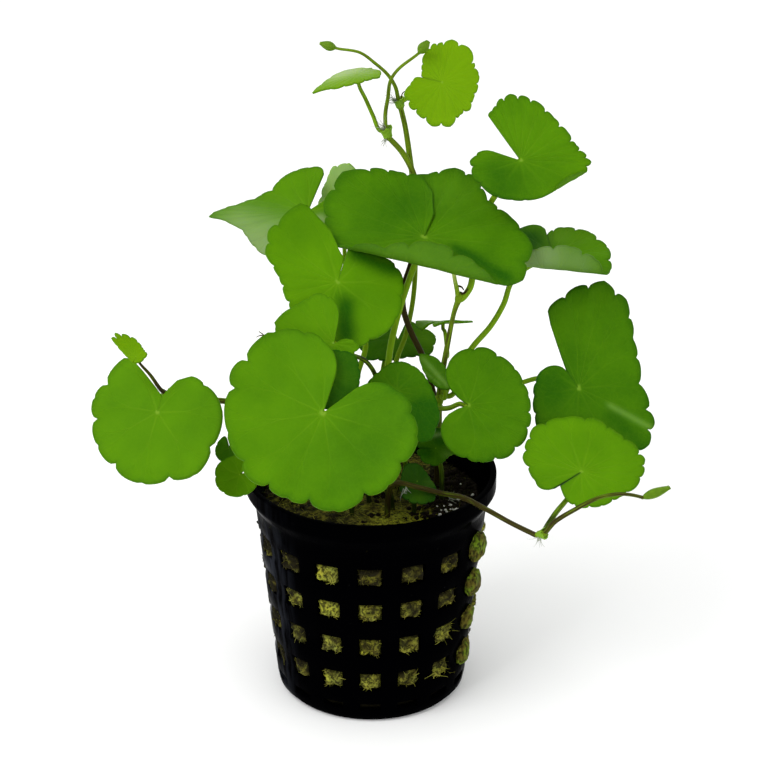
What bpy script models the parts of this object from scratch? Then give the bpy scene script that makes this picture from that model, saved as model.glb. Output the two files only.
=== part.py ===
"""Trailing water plant with round scalloped leaves, growing in a net pot.

The pot stands on z = 0 with its axis on z, and the plant leans towards -Y.
The tables are in millimetres and degrees, and MM turns them into metres.
"""
import math

import bpy
import bmesh
import numpy as np

for old in list(bpy.data.objects):
    bpy.data.objects.remove(old, do_unlink=True)

MM = 0.001
GAP = 0.3             # left between pieces that meet

# Pot: a thin tapered cup with a collar, cut by a grid of square holes
POT_HEIGHT = 47.0
BASE_RADIUS = 17.5    # flat underside
FOOT_RADIUS = 18.9    # where the wall starts, just above the rounded edge
FOOT_HEIGHT = 2.8
FOOT_ROUNDING = 1.2   # how far the rounded edge reaches in along the underside
EDGE_HEIGHT = 1.2     # the middle of the rounded edge, between underside and wall
EDGE_RADIUS = 18.6
COLLAR_BOTTOM = 41.0
COLLAR_TOP = 44.0
WALL_TOP_RADIUS = 23.2
COLLAR_RADIUS = 25.0
POT_WALL = 1.2
COLUMNS = 16
ROWS = 4
ROW_PITCH = 8.17
TOP_ROW_CENTRE = 35.25
HOLE_HALF_HEIGHT = 2.14
SLOT_TOP = 4.4        # the lowest ring of slots, low in the wall
FIRST_COLUMN = -90.65  # direction of the column that looks forward
FLOOR_CENTRE = 6.0    # solid middle of the floor
FLOOR_SLOT_END = 13.0

# Rock wool plug inside the pot
WOOL_TOP = 42.0
WOOL_DOME = 0.7       # how much the middle stands above its edge
WOOL_SIDES = 20
PLUG_HALF_ANGLE = 4.7
PLUG_HALF_HEIGHT = 1.8
PLUG_PROUD = 1.6      # wool squeezed out past the wall
SQUEEZED_COLUMN = 3   # counted to the right of the forward column

# Leaves and stems
LEAF_THICKNESS = 0.6
PETIOLE_DROP = 1.1    # from a blade's centre down to the end of its petiole
LARGE = (0.5, 1.0)    # where a blade's rings of vertices lie, centre to edge
SMALL = (1.0,)


def lobes(start, *ends):
    """A blade's edge: the notch side it starts at, then (end angle, reach) of each lobe."""
    return start, ends


# Each blade: centre, (azimuth, elevation) it faces, lobes, notch corner rounding,
# cup, bends of (direction, distance, radius, turn), rings.
# Angles run counterclockwise in the blade, from its own right hand side.
BLADES = {
    "front": dict(
        at=(-9, -24, 71), face=(-8, 46), corner=38, cut=0.5, cup=0.07,
        edge=lobes(78, (111, 18), (151, 20), (171, 20), (219, 19), (267, 19), (300, 20.5),
                   (330, 20), (366, 19), (402, 15.5))),
    "left": dict(
        at=(-40, -10, 67.5), face=(-25, 45), corner=24, cut=0.55, cup=0.06,
        edge=lobes(140, (177, 13.5), (212, 14), (252, 16), (295, 17.5), (329, 18.5),
                   (358, 16.5), (388, 10), (437, 8))),
    "right_low": dict(
        at=(40.5, -16, 54.5), face=(20, 55), corner=14, cut=0.75, cup=0.06,
        edge=lobes(-151, (-94, 8), (-50, 8.5), (-15, 10.5), (5, 13.5), (39, 12.5), (82, 12),
                   (117, 12), (142, 12.5), (166, 11.5), (199, 10))),
    "right_mid": dict(
        at=(19, -6, 64), face=(5, 45), corner=70, cut=0.22, cup=0.06,
        edge=lobes(-162, (-96, 10.5), (-69, 12), (-48, 13), (-26, 13), (-11, 12.5), (19, 12),
                   (57, 12), (80, 12.5), (138, 12))),
    "right_big": dict(
        at=(40.5, 2, 64.5), face=(15, 40), corner=14, cut=0.8, cup=0.04,
        edge=lobes(168, (208, 9.5), (242, 13), (270, 14.5), (304, 17), (323, 18), (336, 16),
                   (375, 12.5), (396, 15.5), (412, 20.5), (426, 22), (440, 20.5), (463, 15.5))),
    "top_bright": dict(
        at=(14.5, 24, 119.5), face=(15, 45), corner=8, cut=0.75, cup=0.05,
        edge=lobes(160, (175, 5.5), (192, 7.5), (208, 8.5), (223, 9), (263, 10), (290, 9),
                   (319, 7.5), (343, 7), (373, 7.5), (394, 8.5), (420, 9.5), (447, 9),
                   (468, 8), (490, 6), (511, 4.5))),
    "top_right": dict(
        at=(29.5, 14, 107), face=(10, 48), corner=14, cut=0.75, cup=0.06,
        bends=[(294, 5.6, 1.6, -115)], rings=(0.4, 0.7, 1.0),
        edge=lobes(163, (183, 9.5), (200, 10.5), (235, 10.5), (294, 10), (346, 12.5),
                   (361, 13.5), (378, 12.5), (405, 11), (419, 11.5), (444, 14), (470, 13.5))),
    "upper_left": dict(
        at=(-6.5, 3, 86), face=(20, 42), corner=36, cut=0.3, cup=0.04,
        edge=lobes(57, (97, 15.5), (123, 18), (141, 17), (155, 15), (173, 11), (205, 11),
                   (251, 13.5), (290, 14), (315, 14), (336, 13.5), (363, 13), (403, 12.5))),
    "centre_top": dict(
        at=(10.5, 10, 92.5), face=(-8, 60), corner=(22, 5), cut=0.55,
        bends=[(257, 6.1, 1.4, 165)], rings=(0.32, 0.52, 0.74, 1.0),
        edge=lobes(91, (106, 14), (124, 19), (148, 24.5), (162, 22.5), (180, 18.5),
                   (203, 14.5), (238, 14), (268, 13.5), (295, 16), (318, 19.5), (345, 21.5),
                   (364, 20.5), (378, 19), (402, 15.5), (420, 16.5), (447, 18.5))),
    "far_left": dict(
        at=(-11.5, 22, 93), face=(-18, 66), corner=10, cut=0.85,
        bends=[(270, 4.5, 6, -40)], rings=(0.55, 1.0),
        edge=lobes(93, (106, 13), (123, 13), (143, 12), (170, 12.5), (182, 15.5), (188, 19.5),
                   (194, 21), (202, 15.5), (215, 13), (240, 12), (280, 12.5), (312, 12),
                   (360, 9), (415, 9))),
    "far_right": dict(
        at=(36, 13, 87.5), face=(0, 74), corner=10, cut=0.85,
        bends=[(261, 3.8, 1.2, 115)], rings=(0.38, 0.65, 1.0),
        edge=lobes(98, (125, 10.5), (162, 10.5), (195, 10), (225, 9), (262, 9.5), (296, 10.5),
                   (325, 12), (352, 12), (374, 11.5), (401, 10.5), (440, 10))),
    "top_left": dict(
        at=(-2.5, 26, 120), face=(-90, 81), cup=-0.1, rings=SMALL,
        edge=lobes(150, (190, 6), (220, 7), (248, 7.5), (270, 8.5), (282, 9.5), (300, 8.5),
                   (330, 6), (360, 5), (400, 5.5), (440, 5.5), (480, 5.5))),
    "mid_left": dict(
        at=(-7, -9.5, 78.5), face=(-5, 36), corner=20, cut=0.5, cup=0.03, rings=SMALL,
        edge=lobes(82, (100, 9), (122, 10.5), (150, 11), (180, 13), (215, 9), (262, 4),
                   (310, 2.5), (340, 4), (366, 5), (386, 3.5))),
    "notch_back": dict(
        at=(-8, -17, 74.5), face=(10, 40), rings=SMALL,
        edge=lobes(-120, (-75, 6), (-30, 6), (15, 6), (60, 7), (105, 5.5), (150, 4), (205, 4))),
    "crown_front": dict(
        at=(5, -4, 66), face=(0, 42), cup=0.08, rings=SMALL,
        edge=lobes(8, (57, 7), (118, 6), (157, 6), (207, 6.5), (261, 7), (313, 9.5), (353, 9.5))),
    "crown_back": dict(
        at=(5.5, 19.5, 66.5), face=(8, 70), cup=-0.05, rings=SMALL,
        edge=lobes(100, (155, 5), (197, 8), (226, 8.5), (265, 6), (304, 5), (345, 7.5),
                   (387, 8), (425, 6.5))),
    "fold_right": dict(
        at=(13, 1.5, 67), face=(-20, 45), cup=0.25, rings=SMALL,
        edge=lobes(240, (290, 3), (330, 4.5), (380, 4.5), (440, 2.5), (500, 5), (540, 4),
                   (580, 3))),
    "pot_back": dict(
        at=(13, -2.5, 52.5), face=(10, 42), cup=0.3, rings=SMALL,
        edge=lobes(70, (110, 4), (149, 4.5), (211, 4), (271, 4), (339, 4), (402, 4))),
    "pot_front": dict(
        at=(9, -11, 50), face=(5, 50), cup=0.1, rings=SMALL,
        edge=lobes(110, (160, 4), (204, 4), (257, 5), (306, 5.5), (357, 5), (410, 4), (440, 4))),
    "low_left": dict(
        at=(-25.5, -13, 52.5), face=(-25, 35), cup=0.15, rings=SMALL,
        edge=lobes(56, (105, 4), (150, 4), (198, 5), (242, 5), (298, 4.5), (348, 4.5), (389, 4.5))),
    "low_young": dict(
        at=(-28, -5.5, 54.5), face=(-35, 25), cup=0.2, rings=SMALL,
        edge=lobes(118, (180, 2.5), (260, 3), (330, 3), (400, 2.5), (443, 2.5))),
    "thin_back": dict(
        at=(-6.5, 32.5, 91), face=(165, 15), cup=0.05, rings=SMALL,
        edge=lobes(-80, (-28, 5.5), (68, 5), (84, 6), (97, 10), (119, 10.5), (147, 8.5),
                   (182, 6), (250, 5))),
    "edge_back": dict(
        at=(14.5, 15, 72.5), face=(180, 68), cup=0.05, rings=SMALL,
        edge=lobes(60, (110, 5.5), (160, 6), (200, 6), (250, 5.5), (300, 5.5), (350, 6), (400, 5.5))),
    "young": dict(
        at=(-45, -11.5, 77), face=(-30, 40), cut=0.7, cup=0.15, rings=SMALL,
        edge=lobes(-60, (-10, 2), (40, 2.5), (80, 2.5), (115, 3), (140, 5), (158, 7), (175, 6.5),
                   (200, 3.5), (240, 2.5))),
}

# Each petiole: radius and the points it passes before it ends under its blade
PETIOLES = {
    "front": (0.55, [(4, -6.5, 43), (2.5, -9, 48), (-1.5, -14, 54), (-5.5, -17, 61.5), (-7.5, -21, 68)]),
    "left": (0.5, [(-39.5, -5.7, 64.8), (-39.6, -7.5, 65.6)]),
    "right_low": (0.5, [(32.8, -28.5, 48.4), (35, -24, 49.5), (37.5, -20, 50.5), (39.5, -16.5, 51.5)]),
    "right_mid": (0.5, [(14, 2, 59.5), (15.5, 0, 60.5), (17.5, -2.5, 62.5)]),
    "right_big": (0.5, [(15.7, 4.5, 61), (17.5, 6, 61.7), (22, 7, 61.7), (28.5, 7, 62.3), (34, 7, 63.7)]),
    "top_bright": (0.4, [(6.8, 29, 114.4), (8, 28, 116.5), (10, 27, 117.5), (12.5, 26, 118.3)]),
    "top_right": (0.6, [(18, 8, 80.5), (19.5, 8.5, 82.5), (20, 9, 84.5), (21, 12, 89), (22.5, 17, 93.5),
                        (24, 19.5, 96.5), (26.5, 18.5, 100.5), (28.5, 16.2, 104)]),
    "upper_left": (0.55, [(0, 4, 43), (-2.5, 5, 49), (-3.5, 6, 59.5), (-2.5, 7, 65), (-1, 8, 70.5),
                          (-2.5, 8.5, 76.5), (-5, 7, 82)]),
    "centre_top": (0.65, [(4, 2, 43), (3.5, 3, 56.5), (3.5, 5, 68), (5, 8, 75.5), (7, 10.5, 81.5),
                          (9, 11.5, 87)]),
    "far_left": (0.55, [(-2, 10, 43), (-4, 12, 49), (-4.5, 14, 63), (-6, 17, 72), (-8, 20, 82),
                        (-10.5, 22.3, 89)]),
    "far_right": (0.5, [(14, 5.9, 60), (16.5, 9, 63.5), (20.5, 12, 68.5), (24, 13, 72.5), (26.5, 13.5, 77),
                        (28, 14, 81.5), (31, 14, 84.6), (34, 13.8, 86)]),
    "top_left": (0.4, [(1.9, 27, 108.8), (0.5, 27, 112), (-1, 27, 115.5), (-2, 26.5, 117.7)]),
    "mid_left": (0.45, [(1.5, -0.7, 43), (1.5, 0.5, 62), (1, 0.5, 67), (-1, -2, 71.5), (-3.5, -5.5, 74.3),
                        (-5.5, -8, 76.5)]),
    "notch_back": (0.45, [(-0.5, -4, 43), (-3.5, -9.5, 55), (-6, -13.5, 65), (-7.3, -15.8, 71)]),
    "crown_front": (0.45, [(7, -0.5, 43), (6.5, -0.8, 54), (5.7, -1.8, 61)]),
    "crown_back": (0.45, [(3, 13, 43), (2, 15.5, 50.5), (2.5, 18.3, 61), (3.5, 19.3, 64)]),
    "fold_right": (0.4, [(14.6, 2.3, 61.5), (14.6, 1.7, 63), (13.8, 2, 64.8)]),
    "pot_back": (0.45, [(14, -3.2, 43), (14, -2.8, 47.5), (13.5, -2, 50)]),
    "pot_front": (0.45, [(8.5, -8.2, 43), (8.7, -9, 46), (9, -9.8, 48)]),
    "low_left": (0.45, [(-4, -8.5, 43), (-8, -9, 47.5), (-16, -10, 50), (-21, -11, 51.3), (-24, -12, 51.7)]),
    "low_young": (0.4, [(-5.5, -4.5, 43), (-13, -4.5, 49), (-20, -4.5, 51.5), (-25, -4.3, 52.5)]),
    "thin_back": (0.45, [(-3, 15, 43), (-4, 19, 53.5), (-4.5, 24, 67), (-5.2, 28.5, 80), (-5.7, 31, 87.5)]),
    "edge_back": (0.4, [(15.2, 7.4, 68.5), (15, 10, 70.5), (14.8, 13, 71.3)]),
}

# Each stem: points of (x, y, z, radius); a bud is where the radius swells
STEMS = {
    "main": [(13.5, 5, 43, 1.0), (13.5, 4, 51.5, 1.0), (13.5, 4, 59.5, 0.95), (14, 5, 64.5, 0.9),
             (15, 6, 70.5, 0.9), (16.5, 7.5, 78, 0.85), (17, 8, 79.5, 0.85)],
    "sprig_front": [(12.6, 6, 60.5, 0.8), (11.5, 8, 65, 0.8), (10, 9, 68.5, 0.75), (8, 10, 72.5, 0.75),
                    (6.5, 11, 77, 0.75), (6.5, 13, 80.5, 0.75), (8, 16, 84.5, 0.7), (9.5, 20, 89, 0.7),
                    (9.5, 24.5, 94, 0.65), (8.8, 26.5, 99.3, 0.6), (6.5, 27, 104, 0.6),
                    (3.5, 27, 107.5, 0.55)],
    "sprig_back": [(5.5, 8.5, 43, 0.8), (5, 9, 53.5, 0.8), (5, 10, 65.5, 0.75), (7, 13, 70.5, 0.75),
                   (8.5, 17, 76.5, 0.7), (9, 21, 83, 0.7), (8.5, 26, 90, 0.65), (8.5, 30, 97.5, 0.6),
                   (8, 30.5, 101.5, 0.6), (7, 30, 108.5, 0.55), (6, 29.5, 113, 0.55)],
    "sprig_front_tip": [(3.2, 27, 108.4, 0.5), (3, 27, 112, 0.5), (3.5, 27, 115.5, 0.45), (4, 27, 119, 0.45),
                        (5.5, 26.5, 121.5, 0.45), (9, 26, 124.5, 0.45), (9.8, 26, 125.2, 0.95),
                        (10.7, 26, 126.3, 0.9), (11.3, 26, 127.2, 0.3)],
    "sprig_back_tip": [(5.7, 29.5, 113.9, 0.5), (5, 29.5, 117, 0.45), (3.5, 29.5, 119.5, 0.45),
                       (1, 29, 122, 0.45), (-2, 28, 124.5, 0.45), (-6, 26.5, 125.7, 0.45),
                       (-7, 26.3, 126, 0.85), (-8.5, 26, 126.5, 0.8), (-9.5, 26, 126.7, 0.3)],
    "runner_right": [(7, -3.5, 43, 0.85), (8, -4.5, 44.8, 0.85), (10.5, -7, 45.7, 0.85),
                     (13.5, -10, 47, 0.8), (17.5, -17, 49.4, 0.8), (22, -22.5, 49.6, 0.75),
                     (26.5, -27, 49, 0.7), (31, -30, 48, 0.7)],
    "runner_right_tip": [(32.4, -30.7, 48.8, 0.7), (34.5, -29.5, 50.8, 0.65), (38.5, -28.5, 53, 0.65),
                         (44, -27, 54.3, 0.6), (48, -25, 54, 0.6), (52, -22, 52.3, 0.55),
                         (54, -20.5, 52.3, 1.0), (56, -19, 52.8, 0.95), (58, -17.8, 53.6, 0.3)],
    "runner_left": [(3.7, -3.6, 43, 0.8), (2, -4, 47, 0.8), (-4, -4, 52, 0.8), (-14, -2, 58, 0.75),
                    (-23.5, -1.5, 61.5, 0.75), (-29, -1.5, 62.8, 0.7), (-35.5, -2.5, 63.4, 0.7),
                    (-38.5, -3.9, 64.3, 0.7)],
    "runner_left_tip": [(-40.3, -4.4, 66, 0.6), (-40.2, -7.8, 69.4, 0.6), (-42.5, -9.5, 71.2, 0.55),
                        (-44.3, -10.7, 74.8, 0.5)],
}


def material(name, colour, roughness):
    """A plain surface of one colour."""
    made = bpy.data.materials.new(name)
    made.use_nodes = True
    shader = made.node_tree.nodes["Principled BSDF"]
    shader.inputs["Base Color"].default_value = (*colour, 1.0)
    shader.inputs["Roughness"].default_value = roughness
    shader.inputs["Metallic"].default_value = 0.0
    return made


POT_PLASTIC = material("pot_plastic", (0.008, 0.009, 0.012), 0.3)
WOOL = material("rock_wool", (0.22, 0.20, 0.05), 0.95)
LEAF_GREEN = material("leaf_green", (0.10, 0.27, 0.02), 0.4)
LEAF_BRIGHT = material("leaf_bright", (0.20, 0.42, 0.02), 0.4)
PETIOLE_GREEN = material("petiole_green", (0.27, 0.38, 0.10), 0.45)
STEM_OLIVE = material("stem_olive", (0.13, 0.12, 0.03), 0.5)
BRIGHT_LEAVES = ("top_bright", "top_left", "young", "thin_back")

plant = bpy.data.objects.new("potted_plant", None)
bpy.context.collection.objects.link(plant)


def place(name, data, surface, origin):
    """Makes an object with its material, origin in millimetres, under the plant's empty."""
    made = bpy.data.objects.new(name, data)
    bpy.context.collection.objects.link(made)
    data.materials.append(surface)
    made.location = [MM * v for v in origin]
    made.parent = plant
    return made


def mesh_of(name, points, faces):
    """A smooth mesh from points in millimetres."""
    made = bpy.data.meshes.new(name)
    made.from_pydata((np.asarray(points) * MM).tolist(), [], faces)
    made.update()
    made.shade_smooth()
    made.set_sharp_from_angle(angle=math.radians(40))
    return made


def edge_reach(blade, angle):
    """How far the blade's edge is from its centre, for an array of angles.

    The lobes' reaches are joined by straight lines from middle to middle. Each
    lobe is an arch with a shallow sinus on both sides, and the two corners at
    the notch are rounded off.
    """
    start, ends = blade["edge"]
    limits = np.array([start] + [end for end, reach in ends], float)
    reaches = np.array([reach for end, reach in ends], float)
    middles = (limits[:-1] + limits[1:]) / 2
    base = np.interp(angle, middles, reaches)
    lobe = np.clip(np.searchsorted(limits, angle, side="right") - 1, 0, len(reaches) - 1)
    along = (angle - limits[lobe]) / (limits[lobe + 1] - limits[lobe])
    arch = np.sqrt(np.clip(1 - np.abs(2 * along - 1) ** 2.5, 0, 1))
    arch[(lobe == 0) & (along < 0.5)] = 1
    arch[(lobe == len(reaches) - 1) & (along > 0.5)] = 1
    corner = blade.get("corner", 12)
    first, last = corner if isinstance(corner, tuple) else (corner, corner)
    near = np.clip(np.minimum((angle - limits[0]) / first, (limits[-1] - angle) / last), 0, 1)
    cut = blade.get("cut", 0.8)
    rounding = cut + (1 - cut) * (1 - (1 - near) ** 2) ** 0.7
    sinus_depth = 0.05
    return base * rounding * (1 - sinus_depth * (1 - arch))


def bend(points, direction, distance, radius, turn):
    """Rolls what lies beyond a straight line in the blade round a cylinder."""
    across = np.array([math.cos(math.radians(direction)), math.sin(math.radians(direction)), 0])
    reach = points @ across
    past = np.clip(reach - distance, 0, None)
    full = math.radians(abs(turn))
    angle = np.minimum(past / radius, full)
    rest = past - angle * radius
    out = radius * np.sin(angle) + rest * np.cos(angle)
    lift = radius * (1 - np.cos(angle)) + rest * np.sin(angle)
    points = points + (out - past)[:, None] * across
    points[:, 2] += math.copysign(1, turn) * lift
    return points


def blade_points(blade, angle, share):
    """Points of the blade's mid surface at these angles and shares of its reach."""
    reach = edge_reach(blade, angle) * share
    turn = np.radians(angle)
    size = np.mean([r for end, r in blade["edge"][1]])
    cup = blade.get("cup", 0.0) * (reach ** 2 / size - 0.7 * size)
    points = np.stack([reach * np.cos(turn), reach * np.sin(turn), cup], axis=1)
    for each in blade.get("bends", []):
        points = bend(points, *each)
    return points


def make_blade(name, blade):
    """A leaf blade: rings of points round its petiole, given a thickness."""
    start, ends = blade["edge"]
    rings = blade.get("rings", LARGE)
    per_lobe = 2 if len(rings) == 1 else 3
    limits = [start] + [end for end, reach in ends]
    spans = [np.linspace(a, b, per_lobe, endpoint=False) for a, b in zip(limits, limits[1:])]
    angle = np.append(np.concatenate(spans), limits[-1])
    points = [blade_points(blade, angle[:1], 0.0)]
    for share in rings:
        points.append(blade_points(blade, angle, share))
    count = len(angle)
    faces = [(0, 1 + j, 2 + j) for j in range(count - 1)]
    for i in range(len(rings) - 1):
        inner = 1 + i * count
        outer = inner + count
        for j in range(count - 1):
            faces.append((inner + j, outer + j, outer + j + 1, inner + j + 1))
    surface = LEAF_BRIGHT if name in BRIGHT_LEAVES else LEAF_GREEN
    made = place("blade_" + name, mesh_of(name, np.concatenate(points), faces), surface, blade["at"])
    azimuth, elevation = blade["face"]
    made.rotation_euler = (math.radians(90 - elevation), 0, math.radians(azimuth))
    skin = made.modifiers.new("thickness", "SOLIDIFY")
    skin.thickness = LEAF_THICKNESS * MM
    skin.offset = 0.0


def petiole_end(blade):
    """Where a petiole stops: straight below the blade's centre."""
    azimuth, elevation = np.radians(blade["face"])
    normal = np.array([math.sin(azimuth) * math.cos(elevation),
                       -math.cos(azimuth) * math.cos(elevation), math.sin(elevation)])
    centre = blade_points(blade, np.array([float(blade["edge"][0])]), 0.0)[0]
    return np.array(blade["at"]) + normal * (centre[2] - PETIOLE_DROP)


def smooth_route(points, count):
    """Reads a smooth curve through the points (centripetal Catmull-Rom)."""
    points = np.asarray(points, float)
    steps = np.linalg.norm(np.diff(points[:, :3], axis=0), axis=1) ** 0.5
    knots = np.append(0, np.cumsum(steps))
    padded = np.vstack([2 * points[0] - points[1], points, 2 * points[-1] - points[-2]])
    times = np.concatenate([[-steps[0]], knots, [knots[-1] + steps[-1]]])
    route = []
    for u in np.linspace(0, knots[-1], count):
        i = min(int(np.searchsorted(knots, u, side="right")), len(knots) - 1)
        t = times[i - 1:i + 3]
        p = padded[i - 1:i + 3]
        a = [((t[k + 1] - u) * p[k] + (u - t[k]) * p[k + 1]) / (t[k + 1] - t[k]) for k in range(3)]
        b = [((t[k + 2] - u) * a[k] + (u - t[k]) * a[k + 1]) / (t[k + 2] - t[k]) for k in range(2)]
        route.append(((t[2] - u) * b[0] + (u - t[1]) * b[1]) / (t[2] - t[1]))
    return np.array(route)


def make_tube(name, route, surface):
    """A round stem with closed ends; the route holds (x, y, z, radius)."""
    curve = bpy.data.curves.new(name, "CURVE")
    curve.dimensions = "3D"
    curve.bevel_depth = MM
    curve.bevel_resolution = 1
    curve.use_fill_caps = True
    origin = route[0, :3]
    spline = curve.splines.new("POLY")
    spline.points.add(len(route) - 1)
    for point, (x, y, z, radius) in zip(spline.points, route):
        place_of = (np.array([x, y, z]) - origin) * MM
        point.co = (*place_of, 1.0)
        point.radius = radius
    place(name, curve, surface, origin)


def outer_radius(height):
    """Outer radius of the pot at a height."""
    heights = [0, EDGE_HEIGHT, FOOT_HEIGHT, COLLAR_BOTTOM, COLLAR_TOP, POT_HEIGHT]
    radii = [BASE_RADIUS, EDGE_RADIUS, FOOT_RADIUS, WALL_TOP_RADIUS, COLLAR_RADIUS, COLLAR_RADIUS]
    return float(np.interp(height, heights, radii))


def row_centres():
    """Heights of the middles of the rows of holes, from the lowest."""
    return [TOP_ROW_CENTRE - ROW_PITCH * k for k in reversed(range(ROWS))]


def make_pot():
    """The cup's outer skin as a grid with its holes left open, then thickened inwards."""
    rings = [(FLOOR_CENTRE, 0.0), (FLOOR_SLOT_END, 0.0), (BASE_RADIUS, 0.0)]
    heights = [EDGE_HEIGHT, FOOT_HEIGHT, SLOT_TOP]
    for centre in row_centres():
        heights += [centre - HOLE_HALF_HEIGHT, centre + HOLE_HALF_HEIGHT]
    heights += [COLLAR_BOTTOM, COLLAR_TOP, POT_HEIGHT]
    rings += [(outer_radius(z), z) for z in heights]
    floor_slot = 0
    wall_slot = 2 + heights.index(SLOT_TOP)
    open_rings = [wall_slot] + [wall_slot + 2 * (k + 1) for k in range(ROWS)]
    sides = 2 * COLUMNS
    half = 180 / sides
    turn = np.radians(FIRST_COLUMN - half + 360 / sides * np.arange(sides))
    points = [(0.0, 0.0, 0.0)]
    for radius, z in rings:
        points += list(zip(radius * np.cos(turn), radius * np.sin(turn), np.full(sides, z)))
    faces = []
    for j in range(sides):
        after = (j + 1) % sides
        faces.append((0, 1 + after, 1 + j))
        for i in range(len(rings) - 1):
            if j % 2 == 0 and i in open_rings:
                continue
            if j % 4 == 2 and i == floor_slot:
                continue
            low = 1 + i * sides
            high = low + sides
            faces.append((low + j, low + after, high + after, high + j))
    pot = place("net_pot", mesh_of("net_pot", points, faces), POT_PLASTIC, (0, 0, 0))
    skin = pot.modifiers.new("wall", "SOLIDIFY")
    skin.thickness = POT_WALL * MM
    skin.offset = -1.0
    skin.use_even_offset = True


def make_wool():
    """The rock wool: a closed plug with a low dome, squeezed out through one column of holes."""
    inset = POT_WALL + GAP
    centre = math.radians(FIRST_COLUMN + SQUEEZED_COLUMN * 360 / COLUMNS)
    half = math.radians(PLUG_HALF_ANGLE)
    rest = np.linspace(centre + half, centre - half + 2 * math.pi, WOOL_SIDES, endpoint=True)
    turn = np.append(centre - half, rest[:-1])
    sides = len(turn)
    heights = [POT_WALL + GAP, FOOT_HEIGHT]
    for middle in row_centres():
        heights += [middle - PLUG_HALF_HEIGHT, middle + PLUG_HALF_HEIGHT]
    heights += [COLLAR_BOTTOM]
    body = bmesh.new()
    rings = []
    for z in heights:
        radius = outer_radius(z) - inset
        if z < FOOT_HEIGHT:
            radius -= FOOT_ROUNDING
        rings.append([body.verts.new((radius * math.cos(a) * MM, radius * math.sin(a) * MM, z * MM))
                      for a in turn])
    dome = [(0.95, 0.4), (0.6, 0.8)]
    rim_radius = outer_radius(COLLAR_BOTTOM) - inset
    for share, rise in dome:
        z = WOOL_TOP - WOOL_DOME * (1 - rise)
        radius = rim_radius * share
        rings.append([body.verts.new((radius * math.cos(a) * MM, radius * math.sin(a) * MM, z * MM))
                      for a in turn])
    squeezed = []
    for i in range(len(rings) - 1):
        for j in range(sides):
            after = (j + 1) % sides
            face = body.faces.new((rings[i][j], rings[i][after], rings[i + 1][after], rings[i + 1][j]))
            if j == 0 and 2 <= i <= 2 * ROWS and i % 2 == 0:
                squeezed.append(face)
    top = body.verts.new((0, 0, WOOL_TOP * MM))
    for j in range(sides):
        body.faces.new((rings[-1][j], rings[-1][(j + 1) % sides], top))
    body.faces.new(list(reversed(rings[0])))
    grown = bmesh.ops.extrude_discrete_faces(body, faces=squeezed)
    reach = (POT_WALL + GAP + PLUG_PROUD) * MM
    for face in grown["faces"]:
        for vert in face.verts:
            vert.co.x += reach * math.cos(centre)
            vert.co.y += reach * math.sin(centre)
    bmesh.ops.recalc_face_normals(body, faces=body.faces)
    data = bpy.data.meshes.new("rock_wool")
    body.to_mesh(data)
    body.free()
    data.shade_smooth()
    data.set_sharp_from_angle(angle=math.radians(50))
    place("rock_wool", data, WOOL, (0, 0, 0))


make_pot()
make_wool()
for name, points in STEMS.items():
    make_tube("stem_" + name, smooth_route(points, len(points) + 4), STEM_OLIVE)
for name, blade in BLADES.items():
    make_blade(name, blade)
for name, (radius, points) in PETIOLES.items():
    through = points + [tuple(petiole_end(BLADES[name]))]
    route = smooth_route(through, len(through) + 2)
    make_tube("petiole_" + name, np.column_stack([route, np.full(len(route), radius)]), PETIOLE_GREEN)
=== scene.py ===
# %% [markdown]
# # A pennywort in its net pot
#
# This lesson dresses a measured model of a young water plant. The model gives
# the place and size of every leaf, stalk and stem. Here each of them gets its
# finer form: scalloped margins, veins, hairs, and fibres in the rock wool.
#
# Sizes are written in millimetres and MM turns them into the scene's metres.

# %% Load the measured model
import math

import bpy
import numpy as np
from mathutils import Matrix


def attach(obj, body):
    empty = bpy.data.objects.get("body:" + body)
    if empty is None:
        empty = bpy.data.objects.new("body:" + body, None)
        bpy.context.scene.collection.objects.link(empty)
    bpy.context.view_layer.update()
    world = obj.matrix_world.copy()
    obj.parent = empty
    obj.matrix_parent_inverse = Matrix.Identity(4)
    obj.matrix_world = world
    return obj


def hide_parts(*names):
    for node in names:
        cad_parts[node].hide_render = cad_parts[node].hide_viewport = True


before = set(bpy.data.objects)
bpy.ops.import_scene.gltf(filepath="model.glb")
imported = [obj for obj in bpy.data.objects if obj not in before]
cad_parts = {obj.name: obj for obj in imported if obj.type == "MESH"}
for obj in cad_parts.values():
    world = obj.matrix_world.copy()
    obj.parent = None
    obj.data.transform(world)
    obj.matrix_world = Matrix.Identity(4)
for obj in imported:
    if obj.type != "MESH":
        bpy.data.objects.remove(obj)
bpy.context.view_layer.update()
MM = 0.001
UP = np.array([0.0, 0.0, 1.0])
print("nodes in the model:", len(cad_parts))

# %% [markdown]
# ## Where we look from
#
# The pot's rim is a circle, so the flatness of its oval gives the camera's
# tilt, and the pot's width and height in the picture give its distance. Camera
# distance matters more than lens length: it decides how much larger the front
# leaves look than the back ones. Here the eye is about half a metre away and
# looks down by a quarter of a right angle.

# %% Camera
EYE = np.array([0.0, -438.4, 264.4])
AIM = np.array([2.3, 0.0, 66.0])
PICTURE_SIDE = 765
FOCAL_PIXELS = 2456
FILM_SIDE = 36.0

camera_data = bpy.data.cameras.new("camera")
camera_data.sensor_width = FILM_SIDE
camera_data.lens = FILM_SIDE * FOCAL_PIXELS / PICTURE_SIDE
camera_data.clip_start = 0.01
camera = bpy.data.objects.new("camera", camera_data)
bpy.context.collection.objects.link(camera)


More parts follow.
